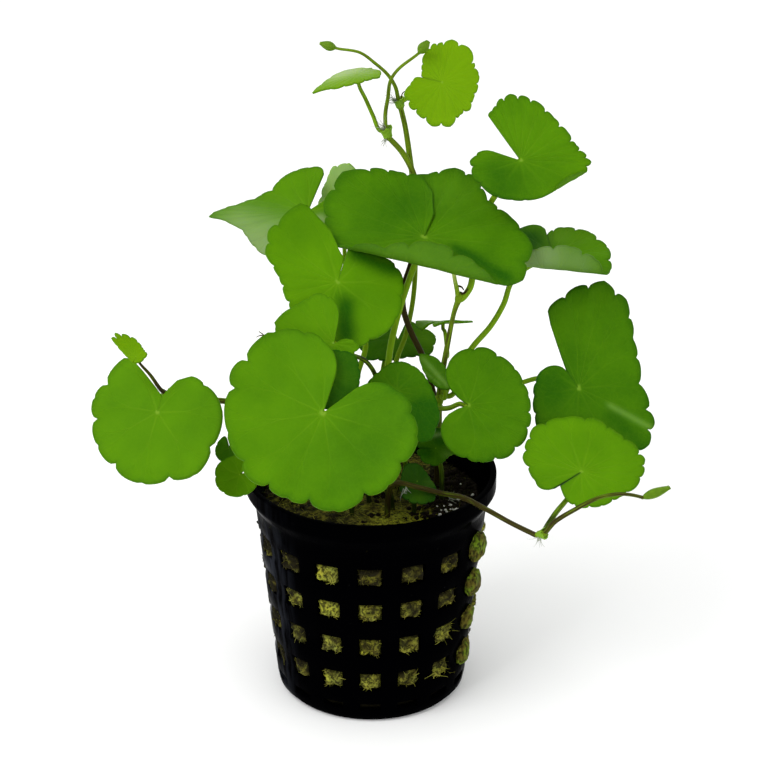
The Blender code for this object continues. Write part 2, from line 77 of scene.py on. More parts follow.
def look(thing, eye, aim):
    """Turns an object at eye (mm) so that its -Z axis points at aim, with Y upwards."""
    back = (eye - aim) / np.linalg.norm(eye - aim)
    side = np.cross(UP, back)
    side /= np.linalg.norm(side)
    lift = np.cross(back, side)
    thing.location = (eye * MM).tolist()
    turn = np.stack([side, lift, back])
    thing.rotation_euler = (math.atan2(turn[1, 2], turn[2, 2]), math.asin(-turn[0, 2]),
                            math.atan2(turn[0, 1], turn[0, 0]))


look(camera, EYE, AIM)
bpy.context.scene.camera = camera
print("lens", round(camera_data.lens, 1), "mm")

# %% [markdown]
# ## Studio
#
# The plant stands in a white studio. A large soft lamp high on the left is the
# main light: it lets one leaf throw a soft shadow on the next. A weaker one on
# the right and the pale surroundings fill the shadows.

# %% Floor and lamps
FLOOR_SIDE = 6000.0
LAMP_AIM = np.array([0.0, 0.0, 60.0])      # the middle of the plant

floor_mesh = bpy.data.meshes.new("floor")
half = FLOOR_SIDE / 2 * MM
floor_mesh.from_pydata([(-half, -half, 0), (half, -half, 0), (half, half, 0), (-half, half, 0)],
                       [], [(0, 1, 2, 3)])
floor = bpy.data.objects.new("floor", floor_mesh)
bpy.context.collection.objects.link(floor)


def lamp(name, place, power, width, height):
    """A rectangle of light at a place in mm, turned towards the plant."""
    light = bpy.data.lights.new(name, "AREA")
    light.shape = "RECTANGLE"
    light.energy = power
    light.size = width * MM
    light.size_y = height * MM
    made = bpy.data.objects.new(name, light)
    bpy.context.collection.objects.link(made)
    look(made, np.array(place, float), LAMP_AIM)


lamp("key lamp", (-380, -330, 640), 2.8, 400, 400)
lamp("fill lamp", (520, -300, 380), 0.4, 400, 400)

world = bpy.data.worlds.new("white studio")
bpy.context.scene.world = world
world.use_nodes = True
world.node_tree.nodes["Background"].inputs["Color"].default_value = (1.0, 1.0, 1.0, 1.0)
world.node_tree.nodes["Background"].inputs["Strength"].default_value = 1.05
bpy.context.scene.view_settings.view_transform = "Standard"

# %% [markdown]
# ## Mixing finishes
#
# Each finish is a short chain of nodes: a pattern (noise, cells, veins), a
# colour chosen by the pattern, and a bump from it. The Finish class keeps such
# a chain readable: a method adds a node or two and returns the output, so
# finishes read like sums.

# %% A helper that builds finishes
class Finish:
    """A material with one Principled surface and methods that add pattern nodes."""

    def __init__(self, name, roughness, specular=0.5, subsurface=0.0, radius=(1.0, 1.0, 1.0), scale=1.0):
        self.material = bpy.data.materials.new(name)
        self.material.use_nodes = True
        self.tree = self.material.node_tree
        self.surface = self.tree.nodes["Principled BSDF"].inputs
        self.feed(self.surface["Roughness"], roughness)
        self.feed(self.surface["Specular IOR Level"], specular)
        self.feed(self.surface["Subsurface Weight"], subsurface)
        self.feed(self.surface["Subsurface Radius"], radius)
        self.feed(self.surface["Subsurface Scale"], scale * MM)
        self.place = self.node("TexCoord", {})["Object"]

    def feed(self, socket, value):
        """Joins an output to a socket, or writes a plain value or colour into it."""
        if isinstance(value, bpy.types.NodeSocket):
            self.tree.links.new(value, socket)
        elif socket.type == "RGBA":
            socket.default_value = (*value, 1.0)
        else:
            socket.default_value = value

    def node(self, kind, inputs, **settings):
        """Adds a node, sets it up and feeds its inputs by name or number. Gives its outputs."""
        made = self.tree.nodes.new("ShaderNode" + kind)
        for key, value in settings.items():
            setattr(made, key, value)
        for key, value in inputs.items():
            self.feed(made.inputs[key], value)
        return made.outputs

    def sum(self, operation, first, second=0.0):
        """One Math node."""
        return self.node("Math", {0: first, 1: second}, operation=operation)[0]

    def times(self, first, second):
        """A product."""
        return self.sum("MULTIPLY", first, second)

    def swing(self, pattern, amount):
        """A pattern from 0 to 1, turned into one that swings round 0 by half the amount."""
        return self.times(self.sum("SUBTRACT", pattern, 0.5), amount)

    def between(self, value, low, high, out_low=0.0, out_high=1.0):
        """A soft step: out_low below low, out_high above high."""
        inputs = dict(enumerate((value, low, high, out_low, out_high)))
        return self.node("MapRange", inputs, interpolation_type="SMOOTHSTEP")[0]

    def mix(self, share, first, second):
        """Goes from the first colour to the second as share goes from 0 to 1."""
        return self.node("Mix", {"Factor": share, 6: first, 7: second}, data_type="RGBA")[2]

    def stretched(self, x, y, z):
        """Object coordinates, stretched: a pattern on them is finer along a larger number."""
        return self.node("Mapping", {"Vector": self.place, "Scale": (x, y, z)})[0]

    def noise(self, size, detail=3.0, where=None):
        """Soft blotches about size mm across, from 0 to 1."""
        inputs = {"Vector": where or self.place, "Scale": 1.0 / (size * MM), "Detail": detail}
        return self.node("TexNoise", inputs)[0]

    def cells(self, size):
        """The net between cells about size mm across: 0 on the net."""
        inputs = {"Vector": self.place, "Scale": 1.0 / (size * MM)}
        return self.node("TexVoronoi", inputs, feature="DISTANCE_TO_EDGE")[0]

    def attribute(self, name):
        """Three numbers that the mesh holds at each point."""
        return self.parts(self.node("Attribute", {}, attribute_name=name)["Vector"])

    def parts(self, vector):
        """The three numbers of a vector."""
        return list(self.node("SeparateXYZ", {0: vector}))

    def bump(self, height, depth, strength):
        """Relief of this depth in mm."""
        inputs = {"Height": height, "Distance": depth * MM, "Strength": strength}
        self.feed(self.surface["Normal"], self.node("Bump", inputs)[0])

    def colour(self, value):
        """Sets the base colour."""
        self.feed(self.surface["Base Color"], value)


def blotched(name, roughness, size, first, second, grain=None, **surface):
    """A plain finish: blotches of two colours, about size mm across.

    grain is its fine relief, as (size in mm, depth in mm, strength).
    """
    finish = Finish(name, roughness, **surface)
    finish.colour(finish.mix(finish.noise(size), first, second))
    if grain:
        grain_size, depth, strength = grain
        finish.bump(finish.noise(grain_size), depth, strength)
    return finish


studio_white = blotched("studio floor", 0.9, 400, (0.955, 0.955, 0.955), (0.97, 0.97, 0.97), specular=0.1)
floor_mesh.materials.append(studio_white.material)

# %% [markdown]
# ## Surfaces from grids
#
# Nearly everything here is one of two shapes: a sheet (a grid of points in two
# directions) or a tube (a ring of points carried along a path). Working on
# whole arrays of points keeps the formulas short and the script quick.

# %% Sheets
def add_piece(name, mesh, finishes, node=None):
    """Puts a finished mesh into the scene as part of the plant, in place of a node if it names one."""
    mesh.name = name
    piece = bpy.data.objects.new(name, mesh)
    bpy.context.collection.objects.link(piece)
    for finish in finishes:
        mesh.materials.append(finish.material)
    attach(piece, "root")
    if node:
        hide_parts(node)
    return piece


def mesh_from(points, faces, sharp=40.0):
    """A smooth mesh from points in mm and arrays of faces, with creases sharper than an angle kept."""
    mesh = bpy.data.meshes.new("surface")
    rows = [row for group in faces for row in np.asarray(group).tolist()]
    mesh.from_pydata((np.reshape(points, (-1, 3)) * MM).tolist(), [], rows)
    mesh.update()
    mesh.shade_smooth()
    mesh.set_sharp_from_angle(angle=math.radians(sharp))
    return mesh


def grid_faces(rows, columns, around=False):
    """The quads between neighbouring points of a grid whose points are numbered row by row."""
    index = np.arange(rows * columns).reshape(rows, columns)
    if around:
        index = np.hstack([index, index[:, :1]])
    quads = np.stack([index[:-1, :-1], index[1:, :-1], index[1:, 1:], index[:-1, 1:]], axis=-1)
    return quads.reshape(-1, 4)


def capped_faces(rings, sides):
    """The quads of a tube whose points are numbered ring by ring, and the cap at each end."""
    index = np.arange(rings * sides).reshape(rings, sides)
    return grid_faces(rings, sides, around=True)[:, ::-1], index[:1, ::-1], index[-1:]


def copies(faces, count, step):
    """The same faces for each of count shapes, whose points follow each other in steps."""
    return (faces + step * np.arange(count)[:, None, None]).reshape(-1, faces.shape[1])


def fan(pole, first, second):
    """Triangles from one point to each pair of points."""
    return np.stack([np.full(len(first), pole), first, second], axis=-1)


def polar(radius, angle, height):
    """Points at a distance from the Z axis, at an angle in radians round it and at a height."""
    return np.stack(np.broadcast_arrays(radius * np.cos(angle), radius * np.sin(angle), height), axis=-1)


def thicken(piece, thickness, offset=0.0):
    """Gives a sheet its thickness in mm: half on each side at offset 0, all of it inwards at -1."""
    skin = piece.modifiers.new("thickness", "SOLIDIFY")
    skin.thickness = thickness * MM
    skin.offset = offset
    return skin


def keep_numbers(mesh, name, values):
    """Stores three numbers at each point for a finish to read."""
    made = mesh.attributes.new(name, "FLOAT_VECTOR", "POINT")
    made.data.foreach_set("vector", np.ascontiguousarray(values, dtype=np.float32).ravel())


# %% Smooth routes and tubes
def smooth_route(points, count):
    """Reads count places on a smooth curve that passes through every point.

    The curve is a centripetal Catmull-Rom spline: each stretch blends straight
    lines through its four nearest points, and the time between two points is
    the square root of their distance, which keeps sharp turns free of loops.
    """
    points = np.asarray(points, float)
    steps = np.linalg.norm(np.diff(points[:, :3], axis=0), axis=1) ** 0.5
    knots = np.append(0, np.cumsum(steps))
    padded = np.vstack([2 * points[0] - points[1], points, 2 * points[-1] - points[-2]])
    times = np.concatenate([[-steps[0]], knots, [knots[-1] + steps[-1]]])
    u = np.linspace(0, knots[-1], count)[:, None]
    i = np.clip(np.searchsorted(knots, u[:, 0], side="right"), 1, len(knots) - 1)
    t = [times[i + k - 1][:, None] for k in range(4)]
    p = [padded[i + k - 1] for k in range(4)]
    a = [((t[k + 1] - u) * p[k] + (u - t[k]) * p[k + 1]) / (t[k + 1] - t[k]) for k in range(3)]
    b = [((t[k + 2] - u) * a[k] + (u - t[k]) * a[k + 1]) / (t[k + 2] - t[k]) for k in range(2)]
    return ((t[2] - u) * b[0] + (u - t[1]) * b[1]) / (t[2] - t[1])


def unit(vectors):
    """Vectors of the same directions and length 1."""
    return vectors / np.maximum(np.linalg.norm(vectors, axis=-1, keepdims=True), 1e-9)


def ring_about(first, second, turn):
    """Unit vectors round two axes: the turn's cosine along the first, its sine along the second."""
    return first * np.cos(turn)[..., None] + second * np.sin(turn)[..., None]


TUBE_SIDES = 14


def tube_mesh(route, radius):
    """A closed tube: a ring of points round each place of a route.

    Each ring lies across the route: its two axes are the cross product of the
    route's direction with a fixed direction that the route never takes, and
    the cross product of these two. The mesh holds at each point the way round,
    from 0 to 1, and the way along in mm.
    """
    heading = unit(np.gradient(route, axis=0))
    choices = unit(np.array([[1.0, 0.2, 0.1], [0.1, 1.0, 0.2], [0.2, 0.1, 1.0], [1.0, -1.0, 0.3]]))
    steady = choices[np.argmin(np.abs(heading @ choices.T).max(axis=0))]
    first = unit(np.cross(heading, steady))
    second = np.cross(heading, first)
    way_round = np.linspace(0, 1, TUBE_SIDES, endpoint=False)
    ring = ring_about(first[:, None], second[:, None], 2 * math.pi * way_round)
    rings = route[:, None] + ring * np.broadcast_to(radius, len(route))[:, None, None]
    mesh = mesh_from(rings, capped_faces(len(route), TUBE_SIDES))
    along = np.append(0, np.cumsum(np.linalg.norm(np.diff(route, axis=0), axis=1)))
    keep_numbers(mesh, "along", np.stack(np.broadcast_arrays(way_round, along[:, None], 0.0), axis=-1))
    return mesh


# %% [markdown]
# ## Leaf blades
#
# A pennywort's blade is a round sheet on a stalk that meets it in the middle.
# Its margin is a ring of shallow lobes, and it is slit from the margin to the
# stalk. One vein leaves the stalk for every lobe and forks on its way out.
#
# A blade could be cut from a flat plane with a curve, but then nothing would
# tell a vein where its lobe is. So the sheet is a function of two parameters:
# the angle round the stalk, and the share of the way out to the margin. The
# table holds, for each blade, its centre, the way it faces, and its lobes as
# (angle where the lobe ends, reach in mm). A few margins are rolled in.

# %% The blades' table
def lobes(start, *ends):
    """A blade's edge: the slit side it starts at, then (end angle, reach) of each lobe.

    A lobe may carry a third number: how deep its sinuses are, where 1 is usual.
    The result is three arrays: the lobes' limits, their reaches and their depths.
    """
    table = np.array([end if len(end) == 3 else (*end, 1.0) for end in ends], float)
    return np.append(start, table[:, 0]), table[:, 1], table[:, 2]


def streak(start, end, radius, change, paleness):
    """Patches side by side along a straight line between two (direction, distance) places.

    Neighbours overlap, so each adds only 0.6 of the amounts.
    """
    ends = [polar(distance, math.radians(turn), 0) for turn, distance in (start, end)]
    count = max(2, round(np.linalg.norm(ends[1] - ends[0]) / radius))
    line = ends[0] + np.linspace(0, 1, count)[:, None] * (ends[1] - ends[0])
    return [(math.degrees(math.atan2(y, x)), math.hypot(x, y), radius, change * 0.6, paleness * 0.6)
            for x, y in line[:, :2]]


# What an entry says, with lengths in mm and directions in degrees:
# at is the blade's centre, face the azimuth and elevation it faces, edge its lobes;
# corner and cut say over how many degrees the slit's two corners are rounded, and
# down to what share; chords are straight cuts (direction, distance) beside the slit;
# cup dishes the blade, lap lays one side of the slit over the other, and bends are
# (direction, distance, radius, turn); bulges (direction, half width, mm) push the
# margin out, and sinus deepens all its notches; tone goes from dark to light and
# holds painted shade as well as the leaf's own colour; patches are (direction,
# distance, radius, change of tone, paleness): most patches that darken are painted
# shadows of the leaves above, and paleness is partly the paler underside and partly
# a painted sheen where a blade is seen nearly edge-on; slit_line is the dark line of
# a closed slit, shade the share of painted deep shadow on a leaf under the others,
# and rings the number of rings of points.
BLADES = {
    "front": dict(
        at=(-9, -24, 71), face=(-8, 46), corner=38, cut=0.5, cup=0.07, tone=0.68, sinus=1.7,
        patches=[(300, 12, 9, -0.25, 0), (10, 14, 8, -0.25, 0)],
        edge=lobes(78, (108, 16, 0.6), (149, 19.3, 0.7), (168, 19.4), (219, 18.3), (241, 18.8, 0.7),
                   (268, 18.3), (301, 20.3), (329, 19.8), (362, 19, 0.6), (402, 15.5, 0.6))),
    "left": dict(
        at=(-41, -12, 65.5), face=(-25, 45), cut=1, chords=((54, 2.6), (155, 1.5)), cup=0.06,
        tone=0.72, sinus=1.9, bulges=[(432, 7, -1.4)],
        edge=lobes(92, (165, 14, 0.8), (199, 13.9, 1.2), (249, 13.3), (301, 14.8), (340, 16.6, 0.9),
                   (402, 13.6, 0.6), (452, 9, 0.6))),
    "right_low": dict(
        at=(40.5, -16, 54.5), face=(20, 55), corner=14, cut=(1, 0.7), chords=((180, 5.3), None),
        cup=0.06, tone=0.8, slit_line=1.0, sinus=1.2,
        edge=lobes(203, (240, 8.3), (262, 8), (300, 8), (320, 8.8), (342, 11), (354, 12.5),
                   (366, 13.3), (385, 12.8), (405, 11.7), (428, 12.3), (470, 12), (493, 12.7),
                   (507, 12), (525, 11.8), (562, 10))),
    "right_mid": dict(
        at=(19, -6, 64), face=(5, 45), corner=70, cut=0.22, cup=0.06, tone=0.45,
        edge=lobes(-162, (-96, 10.5), (-69, 12), (-48, 13), (-26, 13), (-11, 12.5), (19, 12),
                   (57, 12), (80, 12.5), (138, 12))),
    "right_big": dict(
        at=(41, 1.7, 64), face=(15, 40), corner=(80, 5), cut=(0.43, 1), cup=0.04, tone=0.4,
        chords=(None, (189, 1.1)), slit_line=0.2,
        patches=[(180, 6, 5, -0.3, 0), (270, 6, 5, -0.15, 0),
                 *streak((323, 7), (323, 16.5), 0.65, 0.35, 0.2),
                 *streak((311, 9), (308, 16), 2.2, -0.45, 0)],
        edge=lobes(115, (165, 9.7, 0.5), (203, 9.4), (242, 13), (270, 14.5), (304, 17), (321, 17.8),
                   (335, 16.6, 2), (380, 12.7), (405, 15.7), (418.5, 21.3), (434, 23),
                   (448, 20.8), (475, 17))),
    "top_bright": dict(
        at=(14.1, 24.1, 119.7), face=(15, 45), corner=8, cut=0.8, cup=0.05, tone=0.35,
        slit_line=0.3, sinus=1.7,
        edge=lobes(161, (180, 5.7), (206, 8.4), (221, 9), (237, 9.2), (257, 10.3), (278, 10),
                   (294, 7.8), (314, 7.9), (332, 7), (351, 7.2), (379, 7.8), (387, 8), (417, 9.7),
                   (437, 9.7), (446, 8.6), (457, 8.4), (487, 6.7), (500, 5), (520, 4.3))),
    "top_right": dict(
        at=(29.3, 14, 107), face=(10, 48), corner=(9, 6), cut=(0.7, 0.95), cup=0.03, tone=0.68,
        bends=[(297, 8.5, 0.3, 150)], patches=[(225, 6, 6, -0.55, 0), (320, 6, 4, -0.2, 0)],
        edge=lobes(156, (169, 8.3), (184, 10.1, 1.5), (207, 10.4), (250, 9.9, 0.5), (285, 8.7, 0.2),
                   (322, 9.0, 0), (350, 12.5, 0.2), (358, 13.9, 1.5), (366, 12.9, 1.5),
                   (378, 11.7, 1.3), (398, 11.6, 1.6), (418, 12, 1.4), (433, 13.6), (444, 14.4, 1.3),
                   (456, 14.7, 1.5), (464, 13.8), (476, 12))),
    # Its two darkest streaks are painted shadows: one under centre_top's rolled margin, one beside mid_left.
    "upper_left": dict(
        at=(-6.3, 3.2, 86), face=(20, 42), cut=1, cup=0.04, tone=0.9,
        chords=((21, 3.9), (70, 7.4)), bulges=[(86, 7, 1.9)],
        patches=[(110, 14, 6, -0.3, 0), (330, 9, 6, -0.2, 0), *streak((52, 7.3), (3, 12), 1.9, -1.0, 0),
                 *streak((275, 4.2), (264, 12.7), 2.2, -1.1, 0)],
        edge=lobes(62, (126, 17.5), (141, 16.7), (157, 15.2), (176, 11.6), (194, 11.2), (225, 11.8),
                   (255, 13.3), (285, 13.8), (338, 13.6), (366, 13.2), (420.5, 12.9))),
    # The dark streak behind its rolled margin is a painted shadow.
    "centre_top": dict(
        at=(10.5, 10, 92.5), face=(-8, 60), cut=1, chords=((4, 1.7), None), lap=0.45, tone=0.45,
        rings=44, bends=[(257, 6.1, 1.2, 168)], slit_line=0.12,
        bulges=[(89, 6, -2.6)],
        patches=[(128, 9, 6, -0.25, 0), (75, 12, 5, 0.08, 0.02),
                 *streak((340, 6.5), (332, 19.5), 1.5, -0.5, 0)],
        edge=lobes(76, (108, 14.9), (119, 17.9), (128, 20.6), (150, 24), (168, 22.4), (183, 19.8),
                   (200, 17.4), (251, 11.2, 2), (292, 13.4, 2.8), (326, 17, 2), (346, 22), (369, 21.3),
                   (390, 17.7), (413, 15.3), (428, 18.3), (446, 18.7), (461, 16.5))),
    # Its pale patches are a painted greyish sheen, most of it on the margin that turns down.
    "far_left": dict(
        at=(-12.5, 22.7, 93.2), face=(-18, 66), corner=10, cut=0.85, tone=0.7,
        bends=[(270, 3.4, 5, -42)],
        patches=[(200, 15, 4.5, 0, 0.5), (232, 12, 6, 0, 0.95), (262, 10, 5, 0, 0.6),
                 *streak((340, 3), (327, 8), 0.9, 0, 0.9)],
        edge=lobes(90, (118, 13.1, 0.4), (140, 12.2, 0.3), (165, 10.4, 0.3), (178, 12, 0.3),
                   (186, 15.2, 0.4), (191, 18.7, 0.3), (194, 20.2, 0), (200, 16.7, 0), (215, 13.6, 0.2),
                   (240, 13, 0.3), (280, 12.5), (312, 12), (360, 9.7), (415, 9.8))),
    # The dark patch on its left lobe is painted shade; the pale patches are the underside of its rolled
    # flap.
    "far_right": dict(
        at=(36, 13, 87.5), face=(0, 74), corner=18, cut=0.78, tone=0.62, slit_line=0.4, sinus=1.8,
        bends=[(261, 3.8, 1.2, 115)],
        patches=[(130, 7, 4.5, -0.78, 0), (75, 6, 3, 0.35, 0.05), (345, 9, 3.5, -0.15, 0),
                 (218, 8, 4.5, 0, 0.7), (258, 8, 3.5, 0, 0.55), (300, 9, 3, 0, 0.3)],
        edge=lobes(97, (150, 11), (162, 10.7), (195, 10), (225, 9), (262, 9.5), (296, 10.5),
                   (325, 12), (352, 12), (390, 11.4), (418, 10.9), (446, 9.4), (457, 8.4))),
    # Its pale patches are a painted silvery sheen, as on a blade seen nearly edge-on.
    "top_left": dict(
        at=(-2.5, 26, 120), face=(-90, 81), cup=-0.1, tone=0.3,
        corner=2, cut=0.98, slit_line=0.05,
        patches=[(190, 4.5, 4, 0.2, 0.7), (235, 4.5, 3.5, 0.1, 0.5), (100, 2.5, 2.5, 0, 0.2)],
        edge=lobes(150, (175, 6), (200, 7.6), (225, 7), (255, 6.2), (276, 7.2, 0), (288, 9.3, 0),
                   (302, 6.8, 0), (328, 6.1, 1.5), (352, 4.6, 2), (385, 4, 2), (410, 3.8, 2),
                   (440, 4.8), (480, 4.8), (509, 5))),
    "mid_left": dict(
        at=(-7, -9.5, 78.5), face=(-5, 36), corner=20, cut=0.5, cup=0.03, tone=0.75,
        edge=lobes(82, (100, 9), (122, 10.4), (143, 10.4, 0.5), (183, 12.1, 0.1), (215, 9), (262, 4),
                   (310, 2.5), (340, 4), (366, 5), (386, 3.5))),
    "notch_back": dict(
        at=(-8, -17, 74.5), face=(10, 40), tone=0.15, shade=0.15,
        edge=lobes(-120, (-75, 6), (-30, 6), (15, 6), (60, 7), (105, 5.5), (150, 4), (205, 4))),
    "crown_front": dict(
        at=(5, -4, 66), face=(0, 42), cup=0.04, tone=0.35, sinus=0.6,
        patches=[(322, 7, 3, -0.5, 0), (306, 10, 3.5, -0.6, 0)],
        edge=lobes(225, (262, 8), (292, 11), (315, 12), (338, 10), (360, 7.7), (385, 6.6), (420, 6.2),
                   (470, 6.1), (510, 5.2), (545, 6), (580, 6.5))),
    "crown_back": dict(
        at=(5.5, 19.5, 66.5), face=(8, 70), cup=-0.05, tone=0.2, sinus=1.6,
        patches=[(0, 6, 4, 0.5, 0)],
        edge=lobes(100, (155, 5), (197, 8), (226, 8.5), (265, 6), (304, 5), (345, 7.5),
                   (387, 8), (425, 6.5))),
    "fold_right": dict(
        at=(13, 1.5, 67), face=(-20, 45), cup=0.1, tone=0.4, corner=2, cut=1,
        patches=[*streak((142, 4.5), (324, 3.5), 0.5, 0.3, 0.25),
                 *streak((170, 3.3), (300, 2.4), 0.3, 0.2, 0.12)],
        edge=lobes(240, (275, 2), (310, 3), (338, 4.4, 0), (365, 2.3, 0), (420, 1.9, 0), (475, 2.7, 0),
                   (492, 4.4, 0), (512, 5.6, 0), (530, 3.6, 0), (560, 2.4, 0), (598, 2))),
    "pot_back": dict(
        at=(12.8, -4.5, 54), face=(10, 42), cup=0.25, tone=0.3, sinus=1.8,
        bends=[(92, 2.3, 1.2, 50), (250, 2.1, 1.5, -35)],
        patches=[(60, 2.5, 1.6, -0.5, 0), (200, 2.5, 1.4, -0.4, 0), (320, 2.6, 1.1, 0.3, 0.15),
                 *streak((125, 3.1), (60, 3.1), 0.5, 0.5, 0.4)],
        edge=lobes(180, (205, 4), (243, 4.1), (275, 3.9), (305, 3.2), (335, 3), (352, 4.2, 0), (378, 3.4),
                   (420, 3.8), (450, 3.9), (480, 3.8), (515, 3.7), (538, 3.8))),
    "pot_front": dict(
        at=(9, -11, 50), face=(5, 50), cup=0.15, tone=0.1, shade=0.5, sinus=1.5,
        patches=[(270, 4, 1.8, 0.45, 0), (345, 2.6, 1.2, 0.3, 0.1)],
        edge=lobes(195, (215, 3.9), (243, 4.8), (265, 5.1), (290, 5.3), (312, 5.4, 0.5), (345, 4.2, 0.4),
                   (372, 2.7, 0.3), (400, 2.5, 0), (430, 2.7, 0), (460, 3.6, 0.4), (495, 4, 0.4),
                   (520, 3.4), (550, 3.2))),
    "low_left": dict(
        at=(-25.5, -13, 52.5), face=(-25, 35), cup=0.15, tone=0.8,
        edge=lobes(56, (105, 4), (150, 4), (198, 5), (242, 5), (298, 4.5), (348, 4.5), (389, 4.5))),
    "low_young": dict(
        at=(-28, -5.5, 54.5), face=(-35, 25), cup=0.2, tone=0.2,
        edge=lobes(118, (180, 2.5), (260, 3), (330, 3), (400, 2.5), (443, 2.5))),
    # Its underside faces away from the lamps, so its high tone and pale patches are painted light.
    "thin_back": dict(
        at=(-6.5, 32.5, 91), face=(165, 15), cup=0.05, tone=1.0,
        patches=[(-20, 6, 3.5, 0, 0.9), (95, 8, 5, 0, 0.3)],
        edge=lobes(-80, (-45, 8), (-20, 7), (0, 4.6), (60, 3.8), (80, 6), (92, 9.1), (119, 10.6), (147, 8.5),
                   (182, 6), (250, 5))),
    "edge_back": dict(
        at=(14.5, 15, 72.5), face=(180, 68), cup=0.05, tone=0.9, bends=[(35, 2.2, 3, -60)],
        edge=lobes(60, (110, 5.5), (160, 6), (200, 6), (250, 5.5), (300, 5.5), (350, 6), (400, 5.5))),
    "young": dict(
        at=(-44.7, -11.7, 76.9), face=(-30, 40), cut=0.7, cup=0.25, tone=0.1, sinus=1.7,
        edge=lobes(-90, (0, 1.3), (42, 2.5, 2), (75, 2), (100, 2.5, 2), (123, 3.5, 2), (141, 4.6, 2),
                   (153, 5.6, 2), (168, 5.5), (185, 3), (215, 1.7), (268, 1.3))),
}
BRIGHT_LEAVES = ("top_bright", "top_left", "young", "thin_back")
BLADE_SEEDS = {name: 100 + number for number, name in enumerate(BLADES)}
print("blades:", len(BLADES))

# %% [markdown]
# ### The margin
#
# The lobes' reaches are joined by straight lines from middle to middle, and
# each lobe adds an arch with a pinched sinus on both sides. The wider lobes of
# a real leaf carry a second, smaller notch near their middle. The two corners
# at the slit are rounded off, as on every pennywort leaf.

# %% Reach of the margin
SINUS_DEPTH = 0.055   # share of the reach
SMALL_NOTCH = 0.018   # share of the reach
NOTCH_WIDTH = 1.6     # degrees
WIDE_LOBE = 24.0      # degrees: a lobe wider than this has the smaller notch
ARCH_POWER = 2.5      # 2 is a round arch, more is flatter
CORNER_POWER = 0.7
CHORD_SPAN = 100.0    # degrees from the slit
CHORD_ORDER = -8      # power of the soft minimum that joins a chord to the rest
GRAZING = 0.02        # cosine below which a chord isn't met
FAR = 99.0            # mm: beyond any margin


def margin_reach(blade, angle):
    """How far the margin is from the stalk, for an array of angles.

    Reach = straight blend of the lobes' reaches, times 1 less the depth of the
    sinuses between the arches, times the rounding of the slit's corners. A side
    of the slit may be a chord: a straight line at a distance from the stalk,
    facing some direction. Its reach is distance / cosine of the angle from that
    direction, joined to the rest by a soft minimum: both to the power -8,
    added, to the power -1/8.
    """
    limits, reaches, depths = blade["edge"]
    middles = (limits[:-1] + limits[1:]) / 2
    lobe = np.clip(np.searchsorted(limits, angle, side="right") - 1, 0, len(reaches) - 1)
    width = limits[lobe + 1] - limits[lobe]
    along = (angle - limits[lobe]) / width
    arch = np.sqrt(np.clip(1 - np.abs(2 * along - 1) ** ARCH_POWER, 0, 1))
    arch[(angle < middles[0]) | (angle > middles[-1])] = 1
    notch_at = 0.42 + 0.16 * ((lobe * 7 + 3) % 5) / 4      # near the middle, not as in the next lobe
    small = np.exp(-((along - notch_at) * width / NOTCH_WIDTH) ** 2) * (width > WIDE_LOBE)
    depth = np.interp(angle, middles, depths) * blade.get("sinus", 1.0)
    reach = np.interp(angle, middles, reaches)
    reach = reach * (1 - SINUS_DEPTH * depth * (1 - arch) - SMALL_NOTCH * small)
    corners = np.broadcast_to(blade.get("corner", 12), 2)
    cuts = np.broadcast_to(blade.get("cut", 0.8), 2)
    chords = blade.get("chords", (None, None))
    for past, corner, cut, chord in zip((angle - limits[0], limits[-1] - angle), corners, cuts, chords):
        near = np.clip(past / corner, 0, 1)
        reach = reach * (cut + (1 - cut) * (1 - (1 - near) ** 2) ** CORNER_POWER)
        if chord:
            facing = np.cos(np.radians(angle - chord[0]))
            met = (facing > GRAZING) & (past < CHORD_SPAN)
            line = np.where(met, chord[1] / np.maximum(facing, GRAZING), FAR)
            reach = (reach ** CHORD_ORDER + line ** CHORD_ORDER) ** (1 / CHORD_ORDER)
    for middle, width, out in blade.get("bulges", ()):
        reach = reach + out * np.exp(-((angle - middle) / width) ** 2)
    return reach


# %% Rolled margins
def roll(points, direction, distance, radius, turn):
    """Rolls what lies beyond a straight line in the blade round a cylinder.

    A point that is d past the line goes round the cylinder by d / radius, up
    to the full turn, and what is left of d carries on straight.
    """
    across = polar(1.0, math.radians(direction), 0.0)
    past = np.clip(points @ across - distance, 0, None)
    angle = np.minimum(past / radius, math.radians(abs(turn)))
    rest = past - angle * radius
    out = radius * np.sin(angle) + rest * np.cos(angle)
    lift = radius * (1 - np.cos(angle)) + rest * np.sin(angle)
    moved = points + (out - past)[..., None] * across
    moved[..., 2] += math.copysign(1, turn) * lift
    return moved


# %% [markdown]
# ### From flat sheet to living leaf
#
# Three small movements lift the flat sheet: the cup (the blade is a shallow
# bowl), the quilting (it puffs up between two veins and sinks along each of
# them), and slow waves that differ from leaf to leaf. The waves come from a
# few sines with seeded phases, so each run gives the same plant.

# %% Points of a blade
LEAF_THICKNESS = 0.38
QUILT = 0.09          # mm between the furrow of a vein and the crown beside it
WAVE = 0.28           # mm of slow waving at the margin
FULL_SIZE = 14.0      # mm of reach: smaller blades are quilted and waved less
LAP_FADE = 22.0       # degrees from the slit


def vein_count(blade, angle):
    """Counts lobes along the angle: a whole number at the middle of each lobe."""
    limits = blade["edge"][0]
    middles = (limits[:-1] + limits[1:]) / 2
    knots = np.concatenate([limits[:1], middles, limits[-1:]])
    counts = np.concatenate([[0.45], np.arange(1, len(middles) + 1), [len(middles) + 0.55]])
    return np.interp(angle, knots, counts)


def blade_axes(blade):
    """The blade's own right, its upward slope and its normal, as unit vectors."""
    azimuth, elevation = np.radians(blade["face"])
    right = np.array([math.cos(azimuth), math.sin(azimuth), 0.0])
    normal = np.array([math.sin(azimuth) * math.cos(elevation),
                       -math.cos(azimuth) * math.cos(elevation), math.sin(elevation)])
    return right, np.cross(normal, right), normal


